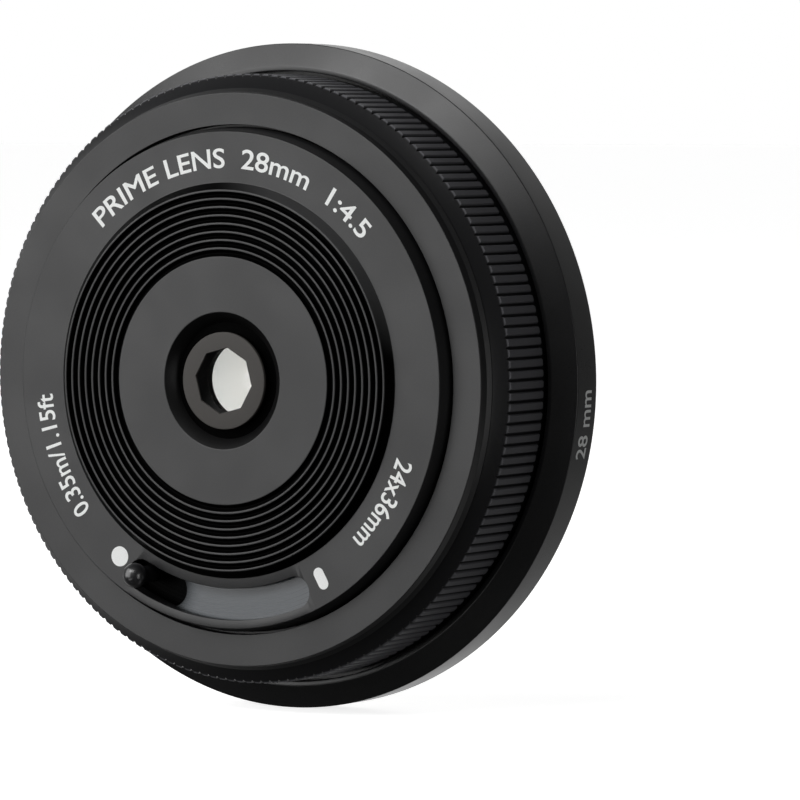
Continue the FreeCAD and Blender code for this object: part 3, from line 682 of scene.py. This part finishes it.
def soften(obj, sharp=42.0):
    """Smooth shading that keeps flats flat and leaves edges sharper than the limit crisp."""
    obj.data.polygons.foreach_set("use_smooth", [True] * len(obj.data.polygons))
    obj.data.set_sharp_from_angle(angle=math.radians(sharp))
    weighted = obj.modifiers.new("Flat faces", "WEIGHTED_NORMAL")
    weighted.keep_sharp = True


def place(obj, body, slot, *replaced):
    """Gives a finished piece its body, and hides the plain nodes that it stands for. Its slot is not used."""
    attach(obj, body)
    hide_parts(*replaced)


COPY_INPUTS = {"Piece": "Object", "Count": "Int", "First Angle": "Float", "Step": "Float", "Weld": "Float",
               "Finish": "Material"}


def ring_of_copies(name):
    """Geometry tree that sets copies of a piece at equal steps round the optical axis."""
    tree = bpy.data.node_groups.new(name, "GeometryNodeTree")
    for label, kind in COPY_INPUTS.items():
        tree.interface.new_socket(label, in_out="INPUT", socket_type=f"NodeSocket{kind}")
    tree.interface.new_socket("Geometry", in_out="OUTPUT", socket_type="NodeSocketGeometry")
    nodes = Nodes(tree)
    given = tree.nodes.new("NodeGroupInput").outputs
    taken = {label: Signal(nodes, given[label]) for label in COPY_INPUTS}
    piece = nodes.add("GeometryNodeObjectInfo", None, {"Object": taken["Piece"]}, output="Geometry")
    points = nodes.add("GeometryNodePoints", None, {"Count": taken["Count"]})
    turn = nodes.add("GeometryNodeInputIndex") * taken["Step"] + taken["First Angle"]
    spin = nodes.add("ShaderNodeCombineXYZ", None, {"Y": turn})
    copies = nodes.add("GeometryNodeInstanceOnPoints", None,
                       {"Points": points, "Instance": piece, "Rotation": spin})
    real = nodes.add("GeometryNodeRealizeInstances", None, {"Geometry": copies})
    welded = nodes.add("GeometryNodeMergeByDistance", None, {"Geometry": real, "Distance": taken["Weld"]})
    done = nodes.add("GeometryNodeSetMaterial", None, {"Geometry": welded, "Material": taken["Finish"]})
    nodes.feed(tree.nodes.new("NodeGroupOutput").inputs["Geometry"], done)
    return tree


def repeated(name, mesh, count, first, step, material, weld=0.0):
    """Object made of copies of a mesh round the optical axis, through the tree above. Angles in degrees."""
    single = bpy.data.objects.new("single", mesh)
    bpy.context.scene.collection.objects.link(single)
    obj = bpy.data.objects.new(name, bpy.data.meshes.new(name))
    bpy.context.scene.collection.objects.link(obj)
    tree = ring_of_copies(name + "_tree")
    modifier = obj.modifiers.new("Copies", "NODES")
    modifier.node_group = tree
    values = {"Piece": single, "Count": count, "First Angle": math.radians(first), "Step": math.radians(step),
              "Weld": weld, "Finish": material}
    for item in tree.interface.items_tree:
        if item.in_out == "INPUT":
            modifier[item.identifier] = values[item.name]
    obj.data = evaluated(obj)
    obj.modifiers.remove(modifier)
    obj.data.name = name
    bpy.data.objects.remove(single)
    return obj


# ---- outlines ----
RECESS_MOUTH = 6.14
CREST_FIRST = 11.80
CREST_HALF = 0.08
GROOVE_FLOOR_HALF = 0.05
CAP_WALL_FOOT = 13.3
CAP_BORE = 21.55
CAP_WEB = PLATE_FACE - 0.2
PLATE_WEB = PLATE_FACE - 0.6


def cap_outline():
    """Front cap: conical recess, plain disc, ridged boss, name plate and skirt."""
    pitch, deep = sizes().crest_pitch / MM, sizes().groove_depth / MM
    corners = [(RECESS_MOUTH - (CAP_FRONT - CAP_WEB), CAP_WEB, 0.02), (RECESS_MOUTH, CAP_FRONT, 0.05),
               (DISC_EDGE, CAP_FRONT, 0.05)]
    start = DISC_EDGE
    for index in range(sizes().crest_count):
        crest = CREST_FIRST + index * pitch
        middle = (start + crest - CREST_HALF) / 2
        corners += [(middle - GROOVE_FLOOR_HALF, CAP_FRONT - deep, 0.03),
                    (middle + GROOVE_FLOOR_HALF, CAP_FRONT - deep, 0.03), (crest - CREST_HALF, CAP_FRONT, 0.03)]
        start = crest + CREST_HALF
        if index < sizes().crest_count - 1:
            corners.append((start, CAP_FRONT, 0.03))
    corners += [(BOSS_EDGE, CAP_FRONT, 0.06), (BOSS_FOOT, PLATE_FACE, 0.04), (PLATE_EDGE, PLATE_FACE, 0.07),
                (CAP_RADIUS, CAP_WALL_FOOT, 0.3), (CAP_RADIUS, CAP_REAR, 0.05), (CAP_BORE, CAP_REAR, 0.05),
                (CAP_BORE, PLATE_WEB, 0), (BOSS_EDGE + 0.3, PLATE_WEB, 0), (BOSS_EDGE + 0.3, CAP_WEB, 0)]
    return eased(corners, 0.05, steps=2)


SLOT_CIRCLE = 20.0
SLOT_HALF = 1.42
SLOT_PLAY = 0.4
DOT_CLOCK, DOT_RADIUS, DOT_CIRCLE = 215.5, 0.91, 19.85
BAR_CLOCK, BAR_HALF, BAR_REACH, BAR_CIRCLE = 150.0, 0.525, 0.5, 19.95
MARK_SINK = 0.1


def slot_cutter():
    """Lever slot, with its mouth eased."""
    first, last = KNOB_CLOCK - LEVER_TRAVEL - SLOT_PLAY, KNOB_CLOCK + SLOT_PLAY
    ease = sizes().edge / MM
    levels = [(PLATE_WEB - 0.1, 0), (PLATE_FACE - ease, 0), (PLATE_FACE - 0.3 * ease, 0.3 * ease),
              (PLATE_FACE, ease), (PLATE_FACE + 0.1, 1.5 * ease)]
    rings = [arc_stadium(SLOT_CIRCLE, first, last, SLOT_HALF + wider, depth) for depth, wider in levels]
    return capped("slot", rings)


def mark_rings(levels):
    """Rings of the dot and of the bar beside the slot, for (depth, how much wider) levels."""
    marks = []
    for circle, clock, half, apart in ((DOT_CIRCLE, DOT_CLOCK, DOT_RADIUS, 0),
                                       (BAR_CIRCLE, BAR_CLOCK, BAR_HALF, BAR_REACH)):
        ends = [at(circle + side * apart, clock, 0) / MM for side in (-1, 1)]
        flat = [(end.x, end.z) for end in ends]
        marks.append([stadium(*flat, half + wider, depth) for depth, wider in levels])
    return marks


class LENS_OT_front_cap(bpy.types.Operator):
    """Turns the front cap and cuts its lever slot and mark pockets"""

    bl_idname = "lens.front_cap"
    bl_label = "Front cap"

    def execute(self, context):
        cap = shown("front_cap_body", turned("front_cap_body", cap_outline()), finishes["anodised_black"])
        pockets = mark_rings([(PLATE_FACE - MARK_SINK, 0.0), (PLATE_FACE + 0.1, 0.01)])
        cut(cap, [slot_cutter()] + [capped("pocket", rings) for rings in pockets])
        soften(cap)
        place(cap, "barrel", "anodised_black", "front_cap")
        return {"FINISHED"}


STOP_BOSS = 4.35
STOP_CORNER = 2.98
STOP_TURN = 7.8
STOP_LAND = 0.18


class LENS_OT_aperture_plate(bpy.types.Operator):
    """Turns the stop plate and cuts its octagonal stop"""

    bl_idname = "lens.aperture_plate"
    bl_label = "Stop plate"

    def execute(self, context):
        flange = STOP_REAR + 0.4
        land = STOP_FACE - STOP_LAND
        outline = eased([(0.0, STOP_FACE, 0), (STOP_BOSS, STOP_FACE, 0.09), (STOP_BOSS, flange, 0.03),
                         (STOP_FLANGE, flange), (STOP_FLANGE, STOP_REAR), (3.95, STOP_REAR), (3.1, land, 0.01),
                         (0.0, land, 0)], 0.05)
        plate = shown("stop_plate", turned("stop_plate", outline, 192, closed=False), finishes["stop_black"])
        levels = ((STOP_REAR, 0.0), (STOP_FACE - 0.05, 0.0), (STOP_FACE + 0.05, 0.1))
        rings = [[at(STOP_CORNER + wider, STOP_TURN + 45 * k, depth) for k in range(8)] for depth, wider in levels]
        cut(plate, [capped("stop", rings)])
        soften(plate)
        place(plate, "barrel", "stop_black", "aperture_plate")
        return {"FINISHED"}


class LENS_OT_front_ring(bpy.types.Operator):
    """Turns the plain front ring round the cap"""

    bl_idname = "lens.front_ring"
    bl_label = "Front ring"

    def execute(self, context):
        face, chamfer = RING_FACE, RING_FACE - 1.21
        outline = eased([(22.8, face, 0.05), (25.66, face, 0.09), (25.74, 12.42, 0.03),
                         (RING_RADIUS, chamfer, 0.05),
                         (23.35, chamfer, 0.03), (23.35, RING_REAR), (22.6, RING_REAR), (22.6, 12.2, 0.02),
                         (22.8, 12.2, 0.02)], 0.05)
        ring = shown("front_ring_body", turned("front_ring_body", outline), finishes["anodised_black"])
        soften(ring)
        place(ring, "barrel", "anodised_black", "front_ring")
        return {"FINISHED"}


GRIP_BORE = 24.65
GRIP_TAIL = 27.15
GRIP_NOSE = 26.1
RIB_REAR, RIB_FRONT = 5.3, 10.95


def rib_mesh():
    """One pitch of the grip, open at its sides, with a rib and half a groove each side of it."""
    pitch = 360.0 / sizes().rib_count
    crest, groove = GRIP_RADIUS, sizes().rib_depth / MM
    shares = (-0.285, -0.265, -0.23, 0.23, 0.265, 0.285, 0.465, 0.50, 0.535)
    drops = (0.035, 0.010, 0.0, 0.0, 0.010, 0.035, groove * 0.94, groove, groove * 0.94)
    slope = (GRIP_FRONT - 0.06 - RIB_FRONT) / (crest - GRIP_NOSE)

    def row(radius, depth):
        return [(share, radius, depth) for share in shares]

    def ribbed(depth, setback, lower=0.0):
        return [(share, crest - drop - lower, depth + setback * drop) for share, drop in zip(shares, drops)]

    rows = [row(GRIP_BORE, GRIP_REAR), row(GRIP_TAIL - 0.06, GRIP_REAR), row(GRIP_TAIL, GRIP_REAR + 0.06),
            row(GRIP_TAIL, RIB_REAR - 0.06), ribbed(RIB_REAR, 0.0, 0.04), ribbed(RIB_REAR + 0.04, 0.0),
            ribbed(RIB_FRONT - 0.04, slope), ribbed(RIB_FRONT, slope, 0.012),
            row(GRIP_NOSE + 0.04, GRIP_FRONT - 0.10),
            row(GRIP_NOSE - 0.01, GRIP_FRONT - 0.05), row(GRIP_NOSE - 0.07, GRIP_FRONT), row(GRIP_BORE, GRIP_FRONT)]
    points, faces = [], []
    columns = len(shares) + 1
    for line in rows:
        for share, radius, depth in line + [(line[0][0] + 1, *line[0][1:])]:
            points.append(tuple(at(radius, share * pitch, depth)))
    for low in range(len(rows)):
        high = (low + 1) % len(rows)
        for k in range(columns - 1):
            faces.append([low * columns + k, low * columns + k + 1, high * columns + k + 1, high * columns + k])
    mesh = bpy.data.meshes.new("rib")
    mesh.from_pydata(points, [], faces)
    return mesh


class LENS_OT_grip_barrel(bpy.types.Operator):
    """Repeats one rib round the grip and welds the copies into a closed ring"""

    bl_idname = "lens.grip_barrel"
    bl_label = "Ribbed grip"

    def execute(self, context):
        count = sizes().rib_count
        grip = repeated("grip_ribbed", rib_mesh(), count, 0.0, 360.0 / count, finishes["grip_anodised"], 0.002 * MM)
        outward(grip.data)
        soften(grip, 30.0)
        place(grip, "barrel", "grip_anodised", "grip_barrel")
        return {"FINISHED"}


CONE_FOOT = 4.12
LIP_OUTER, LIP_INNER = 28.06, 27.65
SEAT_THICK = 1.7


class LENS_OT_rear_barrel(bpy.types.Operator):
    """Turns the rear barrel with its cone, lip and index pocket"""

    bl_idname = "lens.rear_barrel"
    bl_label = "Rear barrel"

    def execute(self, context):
        skin = BARREL_RADIUS - sizes().paint / MM
        outline = eased([(22.0, SEAT_THICK), (28.75, SEAT_THICK, 0.02), (28.75, BARREL_REAR),
                         (skin, BARREL_REAR, 0.22),
                         (skin, CONE_FOOT, 0.07), (LIP_OUTER, BARREL_LIP, 0.08), (LIP_INNER, BARREL_LIP, 0.08),
                         (LIP_INNER, GRIP_REAR, 0), (22.0, GRIP_REAR, 0)], 0.05)
        barrel = shown("rear_barrel_body", turned("rear_barrel_body", outline), finishes["anodised_black"])
        cutters = []
        low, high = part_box("index_dot")
        dot = (low + high) / 2 / MM
        floor, mouth = low.z / MM, BARREL_RADIUS + 0.5
        ring = [(0.8 * math.cos(math.tau * k / 32), 0.8 * math.sin(math.tau * k / 32)) for k in range(32)]
        cutters.append(capped("index", [[Vector((x, dot.y + y, level)) * MM for x, y in ring]
                                        for level in (floor, mouth)]))
        for clock in (45.0, 135.0, 225.0, 315.0):
            cutters.append(hole(26.0, clock, 0.8, SEAT_THICK - 0.1, 2.95))
        for clock in (0.0, 120.0, 240.0):
            cutters.append(hole(23.6, clock, 0.6, SEAT_THICK + 0.5, GRIP_REAR + 0.1))
            cutters.append(hole(23.6, clock, 1.15, SEAT_THICK - 0.1, SEAT_THICK + 0.6))
        cut(barrel, cutters)
        soften(barrel)
        place(barrel, "barrel", "anodised_black", "rear_barrel")
        return {"FINISHED"}


def hole(circle, clock, radius, rear, front, steps=24):
    """Round cutter along the optical axis, standing at a clock angle."""
    centre = at(circle, clock, 0) / MM
    flat = (centre.x, centre.z)
    return capped("hole", [stadium(flat, flat, radius, depth, steps // 2) for depth in (rear, front)])


class LENS_OT_lever(bpy.types.Operator):
    """Turns the lever's polished ball and its stem"""

    bl_idname = "lens.lever"
    bl_label = "Cover lever"

    def execute(self, context):
        low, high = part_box("lever_knob")
        ball = (high.x - low.x) / 2 / MM
        top = -low.y / MM
        centre = top - ball
        stem, foot = 0.75, -high.y / MM
        meet = centre - math.sqrt(ball ** 2 - stem ** 2)
        outline = [(0.0, foot), (stem - 0.05, foot), (stem, foot + 0.05), (stem, meet - 0.12),
                   (stem + 0.02, meet - 0.05)]
        start = math.asin(stem / ball) + 0.08
        for k in range(25):
            t = start + (math.pi - start) * k / 24
            outline.append((ball * math.sin(t) if k < 24 else 0.0, centre - ball * math.cos(t)))
        mesh = turned("lever_ball", outline, 64, closed=False)
        mesh.transform(Matrix.Translation(at(KNOB_CIRCLE, KNOB_CLOCK, 0)))
        knob = shown("lever_ball", mesh, finishes["knob_black"])
        soften(knob)
        place(knob, "cover_lever", "knob_black", "lever_knob")
        return {"FINISHED"}


# Each line of text on the front plate: its words, and the clock angles at which it starts and ends.
FRONT_TEXTS = (("PRIME LENS  28mm  1:4.5", 315.4, 408.0), ("0.35m/1.15ft", 231.0, 265.0),
               ("24x36mm", 109.6, 135.6))
SIDE_TEXT, SIDE_CLOCK, SIDE_HEIGHT = "28 mm", 97.0, 1.55
LETTER_SINK = 0.02           # how far the paint reaches into the surface
BOLDEN = 0.016               # how far letters' strokes are thickened, as a share of their height


def flat_text(text, height, thickness):
    """Closed mesh of a line of text, its baseline's middle at the origin, in millimetres."""
    curve = bpy.data.curves.new("text", "FONT")
    curve.body = text
    curve.align_x = "CENTER"
    curve.size = height / 0.69
    curve.extrude = thickness / 2
    curve.resolution_u = 6
    obj = bpy.data.objects.new("text", curve)
    bpy.context.scene.collection.objects.link(obj)
    mesh = evaluated(obj)
    bpy.data.objects.remove(obj)
    with edited(mesh) as bm:
        bmesh.ops.remove_doubles(bm, verts=bm.verts, dist=1e-4)
        bmesh.ops.recalc_face_normals(bm, faces=bm.faces)
        moves = []
        for vertex in bm.verts:
            sides = [face.normal for face in vertex.link_faces if abs(face.normal.z) < 0.5]
            outwards = sum(sides, Vector()).normalized()
            corner = max(0.6, min(outwards.dot(side) for side in sides)) if sides else 1.0
            moves.append(outwards * BOLDEN * height / corner)
        for vertex, move in zip(bm.verts, moves):
            vertex.co += move
    return mesh


class LENS_OT_lettering(bpy.types.Operator):
    """Prints the lettering on the front plate and the focal length on the barrel's side"""

    bl_idname = "lens.lettering"
    bl_label = "Lettering"

    def execute(self, context):
        film = sizes().paint / MM
        circle = sizes().letter_circle / MM
        for index, (text, first, last) in enumerate(FRONT_TEXTS):
            mesh = flat_text(text, sizes().letter_height / MM, film + LETTER_SINK)
            width = max(v.co.x for v in mesh.vertices) - min(v.co.x for v in mesh.vertices)
            stretch = math.radians(last - first) * (circle + 0.8) / width
            for vertex in mesh.vertices:
                x, y, z = vertex.co
                clock = (first + last) / 2 + math.degrees(x * stretch / (circle + 0.8))
                vertex.co = at(circle + y, clock, PLATE_FACE + (film - LETTER_SINK) / 2 + z)
            self.print_letters(f"front_lettering_{index + 1}", mesh)
        mesh = flat_text(SIDE_TEXT, SIDE_HEIGHT, film + LETTER_SINK)
        middle = (BARREL_REAR + CONE_FOOT) / 2 - 0.7
        for vertex in mesh.vertices:
            x, y, z = vertex.co
            radius = BARREL_RADIUS - (film + LETTER_SINK) / 2 + z
            vertex.co = at(radius, SIDE_CLOCK - math.degrees(x / BARREL_RADIUS), middle + y)
        self.print_letters("side_lettering", mesh)
        return {"FINISHED"}

    def print_letters(self, name, mesh):
        outward(mesh)
        letters = shown(name, mesh, finishes["white_paint"])
        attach(letters, "barrel")


REFINED = (("bayonet_ring", "mount_metal", 0.07), ("rear_baffle", "baffle_plastic", 0.05),
           ("contact_block", "baffle_plastic", 0.05), ("contact_pads", "contact_gold", 0.04),
           ("usb_shell", "usb_steel", 0.05), ("usb_tongue", "usb_plastic", 0.05))


def fused_neighbours(mesh):
    """Welds a copy's loose triangles and joins the flats, so that its edges can be eased."""
    with edited(mesh) as bm:
        bmesh.ops.remove_doubles(bm, verts=bm.verts, dist=0.0005 * MM)
        bmesh.ops.dissolve_limit(bm, angle_limit=math.radians(0.5), verts=bm.verts, edges=bm.edges)


class LENS_OT_rear_face(bpy.types.Operator):
    """Eases the edges of the bayonet, the rear baffle, the contacts and the service socket"""

    bl_idname = "lens.rear_face"
    bl_label = "Rear face"

    def execute(self, context):
        for node, slot, edge in REFINED:
            mesh = frame["nodes"][node].data.copy()
            if mesh.has_custom_normals:
                mesh.attributes.remove(mesh.attributes["custom_normal"])
            fused_neighbours(mesh)
            piece = shown(f"{node}_eased", mesh, finishes[slot])
            bevel = piece.modifiers.new("Eased edges", "BEVEL")
            bevel.width = edge * MM
            bevel.segments = 2
            bevel.limit_method = "ANGLE"
            bevel.angle_limit = math.radians(40)
            piece.data = evaluated(piece)
            piece.modifiers.clear()
            soften(piece, 35.0)
            place(piece, "barrel", slot, node)
        return {"FINISHED"}


# Each set: node, slot, circle, first clock, count, step, head radius, depths of the drive face and the underside,
# shank radius, depth of its end, and width of the cross recess.
SCREWS = (("bayonet_screws", "screw_steel", 26.0, 45.0, 4, 90.0, 1.35, 0.12, 0.95, 0.8, 2.9, 0.35),
          ("baffle_screws", "screw_black", 18.7, 75.0, 2, 210.0, 0.9, -4.17, -3.75, 0.5, -0.3, 0.25),
          ("contact_screws", "screw_black", 17.5, 144.0, 2, 72.0, 0.95, -4.55, -4.2, 0.5, -2.7, 0.25))


def screw_mesh(circle, head, face, under, shank, end, driver):
    """Cross-recess screw at clock 0, its drive face towards the rear."""
    ease = 0.12 * head
    outline = [(0.0, face), (head - ease, face), (head - 0.3 * ease, face + 0.3 * ease), (head, face + ease),
               (head, under - 0.02), (head - 0.02, under), (shank, under), (shank, end - 0.1), (shank - 0.1, end),
               (0.0, end)]
    mesh = turned("screw", outline, 32, closed=False)
    mesh.transform(Matrix.Translation(at(circle, 0.0, 0)))
    screw = shown("screw", mesh, finishes["screw_steel"])
    sink = face + 0.6 * (under - face)
    arms = []
    for half, across in ((0.65 * head, driver / 2), (driver / 2, 0.65 * head)):
        rings = []
        for depth, taper in ((face - 0.1, 1.0), (sink, 0.8)):
            rings.append([Vector((x * half * taper, -depth, circle + z * across * taper)) * MM
                          for x, z in ((-1, -1), (1, -1), (1, 1), (-1, 1))])
        arms.append(capped("arm", rings))
    cut(screw, arms)
    done = screw.data
    bpy.data.objects.remove(screw)
    return done


class LENS_OT_screws(bpy.types.Operator):
    """Sets the cross-recess screws of the bayonet, the baffle and the contacts"""

    bl_idname = "lens.screws"
    bl_label = "Rear screws"

    def execute(self, context):
        for node, slot, circle, first, count, step, *shape in SCREWS:
            mesh = screw_mesh(circle, *shape)
            screws = repeated(f"{node}_set", mesh, count, first, step, finishes[slot])
            outward(screws.data)
            soften(screws, 35.0)
            place(screws, "barrel", slot, node)
        return {"FINISHED"}


class LENS_OT_carried_nodes(bpy.types.Operator):
    """Gives every node that is shown as it comes its finish"""

    bl_idname = "lens.carried_nodes"
    bl_label = "Inner pieces"

    def execute(self, context):
        for node in frame["nodes"].values():
            for holder in node.material_slots:
                holder.material = finishes[holder.material.name.split(".")[0]]
        return {"FINISHED"}


# ---- studio ----
def bearing(azimuth, elevation):
    """Direction towards an azimuth and an elevation in degrees; azimuth 0 is in front of the lens."""
    a, e = math.radians(azimuth), math.radians(elevation)
    return Vector((math.sin(a) * math.cos(e), -math.cos(a) * math.cos(e), math.sin(e)))


def softbox(name, azimuth, elevation, width, height, radiance):
    """Rectangular light that faces the lens, its sides in metres."""
    light = bpy.data.lights.new(name, "AREA")
    light.shape = "RECTANGLE"
    light.size, light.size_y = width, height
    light.energy = radiance * math.pi * width * height
    obj = bpy.data.objects.new(name, light)
    towards = bearing(azimuth, elevation)
    obj.location = towards * AWAY
    obj.rotation_euler = towards.to_track_quat("Z", "Y").to_euler()
    bpy.context.scene.collection.objects.link(obj)
    return obj


AWAY = 0.9                   # from the softboxes to the lens, in metres


class LENS_OT_studio(bpy.types.Operator):
    """Sets the floor, the surround, the softboxes and the camera"""

    bl_idname = "lens.studio"
    bl_label = "Studio"

    def execute(self, context):
        scene = context.scene
        scene.view_settings.view_transform = "Standard"
        scene.cycles.max_bounces = 32
        scene.cycles.transmission_bounces = 32
        scene.cycles.transparent_max_bounces = 16
        self.add_floor()
        self.add_surround(scene)
        softbox("key_softbox", -40, 18, 0.95, 1.0, studio().key)
        softbox("top_softbox", -8, 42, 0.70, 0.34, studio().top)
        softbox("low_softbox", -18, -32, 0.50, 0.16, studio().low)
        softbox("side_softbox", 66, -6, 0.26, 0.60, studio().side)
        self.add_camera(scene)
        return {"FINISHED"}

    def add_floor(self):
        side, level = 12.0, cad_box[0].z
        mesh = bpy.data.meshes.new("floor")
        mesh.from_pydata([(-side, -side, level), (side, -side, level), (side, side, level), (-side, side, level)],
                         [], [[0, 1, 2, 3]])
        floor = shown("floor", mesh, pale_floor("pale_floor_finish", colours().floor))
        floor.visible_glossy = False
        floor.visible_diffuse = False

    def add_surround(self, scene):
        world = bpy.data.worlds.new("surround")
        scene.world = world
        world.use_nodes = True
        world.node_tree.nodes.clear()
        nodes = Nodes(world.node_tree)
        towards = nodes.add("ShaderNodeTexCoord", output="Generated")
        behind = lobe(nodes, towards, bearing(211.5, 2), 60, 25)
        under = lobe(nodes, towards, bearing(128, -38), 34, 8)
        glow = behind * studio().backdrop + under * 0.45 + studio().surround
        paths = world.node_tree.nodes.new("ShaderNodeLightPath").outputs
        seen = [Signal(nodes, paths[f"Is {kind} Ray"]) for kind in ("Camera", "Transmission")]
        direct = nodes.add("ShaderNodeMath", {"operation": "MAXIMUM"}, dict(enumerate(seen)))
        level = glow * (1 - direct) + direct
        sky = nodes.add("ShaderNodeBackground", None, {"Color": (1, 1, 1, 1), "Strength": level})
        nodes.feed(world.node_tree.nodes.new("ShaderNodeOutputWorld").inputs["Surface"], sky)

    def add_camera(self, scene):
        view = studio()
        data = bpy.data.cameras.new("camera")
        data.lens, data.sensor_width = view.focal_length, 36.0
        data.clip_start, data.clip_end = 0.02, 50.0
        camera = bpy.data.objects.new("camera", data)
        back = bearing(math.degrees(view.azimuth), math.degrees(view.elevation))
        right = Vector((math.cos(view.azimuth), math.sin(view.azimuth), 0.0))
        up = back.cross(right)
        middle = Vector((0.0, -BARREL_REAR * MM, 0.0))
        camera.location = middle + back * view.distance + right * view.offset_right + up * view.offset_up
        camera.rotation_mode = "QUATERNION"
        camera.rotation_quaternion = (-back).to_track_quat("-Z", "Y")
        scene.collection.objects.link(camera)
        scene.camera = camera


def lobe(nodes, towards, middle, outer, inner):
    """Soft round patch of the surround, from 0 at outer degrees off its middle to 1 at inner degrees."""
    dot = nodes.add("ShaderNodeVectorMath", {"operation": "DOT_PRODUCT"}, {0: towards, 1: tuple(middle)},
                    output="Value")
    return nodes.ranged(dot, math.cos(math.radians(outer)), math.cos(math.radians(inner)))


# ---- add-on ----
OPERATORS = (LENS_OT_front_cap, LENS_OT_aperture_plate, LENS_OT_front_ring, LENS_OT_grip_barrel,
             LENS_OT_rear_barrel, LENS_OT_lever, LENS_OT_lettering, LENS_OT_rear_face, LENS_OT_screws,
             LENS_OT_carried_nodes, LENS_OT_studio)


class LENS_PT_builder(bpy.types.Panel):
    """Lists the steps that finish the lens, and their settings"""

    bl_idname = "LENS_PT_builder"
    bl_label = "Pancake Prime Lens"
    bl_space_type = "VIEW_3D"
    bl_region_type = "UI"
    bl_category = "Lens"

    def draw(self, context):
        for operator in OPERATORS:
            self.layout.operator(operator.bl_idname)
        for group in (context.scene.lens_sizes, context.scene.lens_colours, context.scene.lens_studio):
            box = self.layout.box()
            for name in group.__annotations__:
                box.prop(group, name)


GROUPS = {"lens_sizes": LENS_PG_sizes, "lens_colours": LENS_PG_colours, "lens_studio": LENS_PG_studio}


def register():
    for cls in (*GROUPS.values(), *OPERATORS, LENS_PT_builder):
        bpy.utils.register_class(cls)
    for name, group in GROUPS.items():
        setattr(bpy.types.Scene, name, bpy.props.PointerProperty(type=group))


def unregister():
    for name in GROUPS:
        delattr(bpy.types.Scene, name)
    for cls in (LENS_PT_builder, *reversed(OPERATORS), *GROUPS.values()):
        bpy.utils.unregister_class(cls)


finishes = {}


def main():
    register()
    finishes.update(make_finishes())
    for operator in OPERATORS:
        family, step = operator.bl_idname.split(".")
        getattr(getattr(bpy.ops, family), step)()


if __name__ == "__main__":
    main()
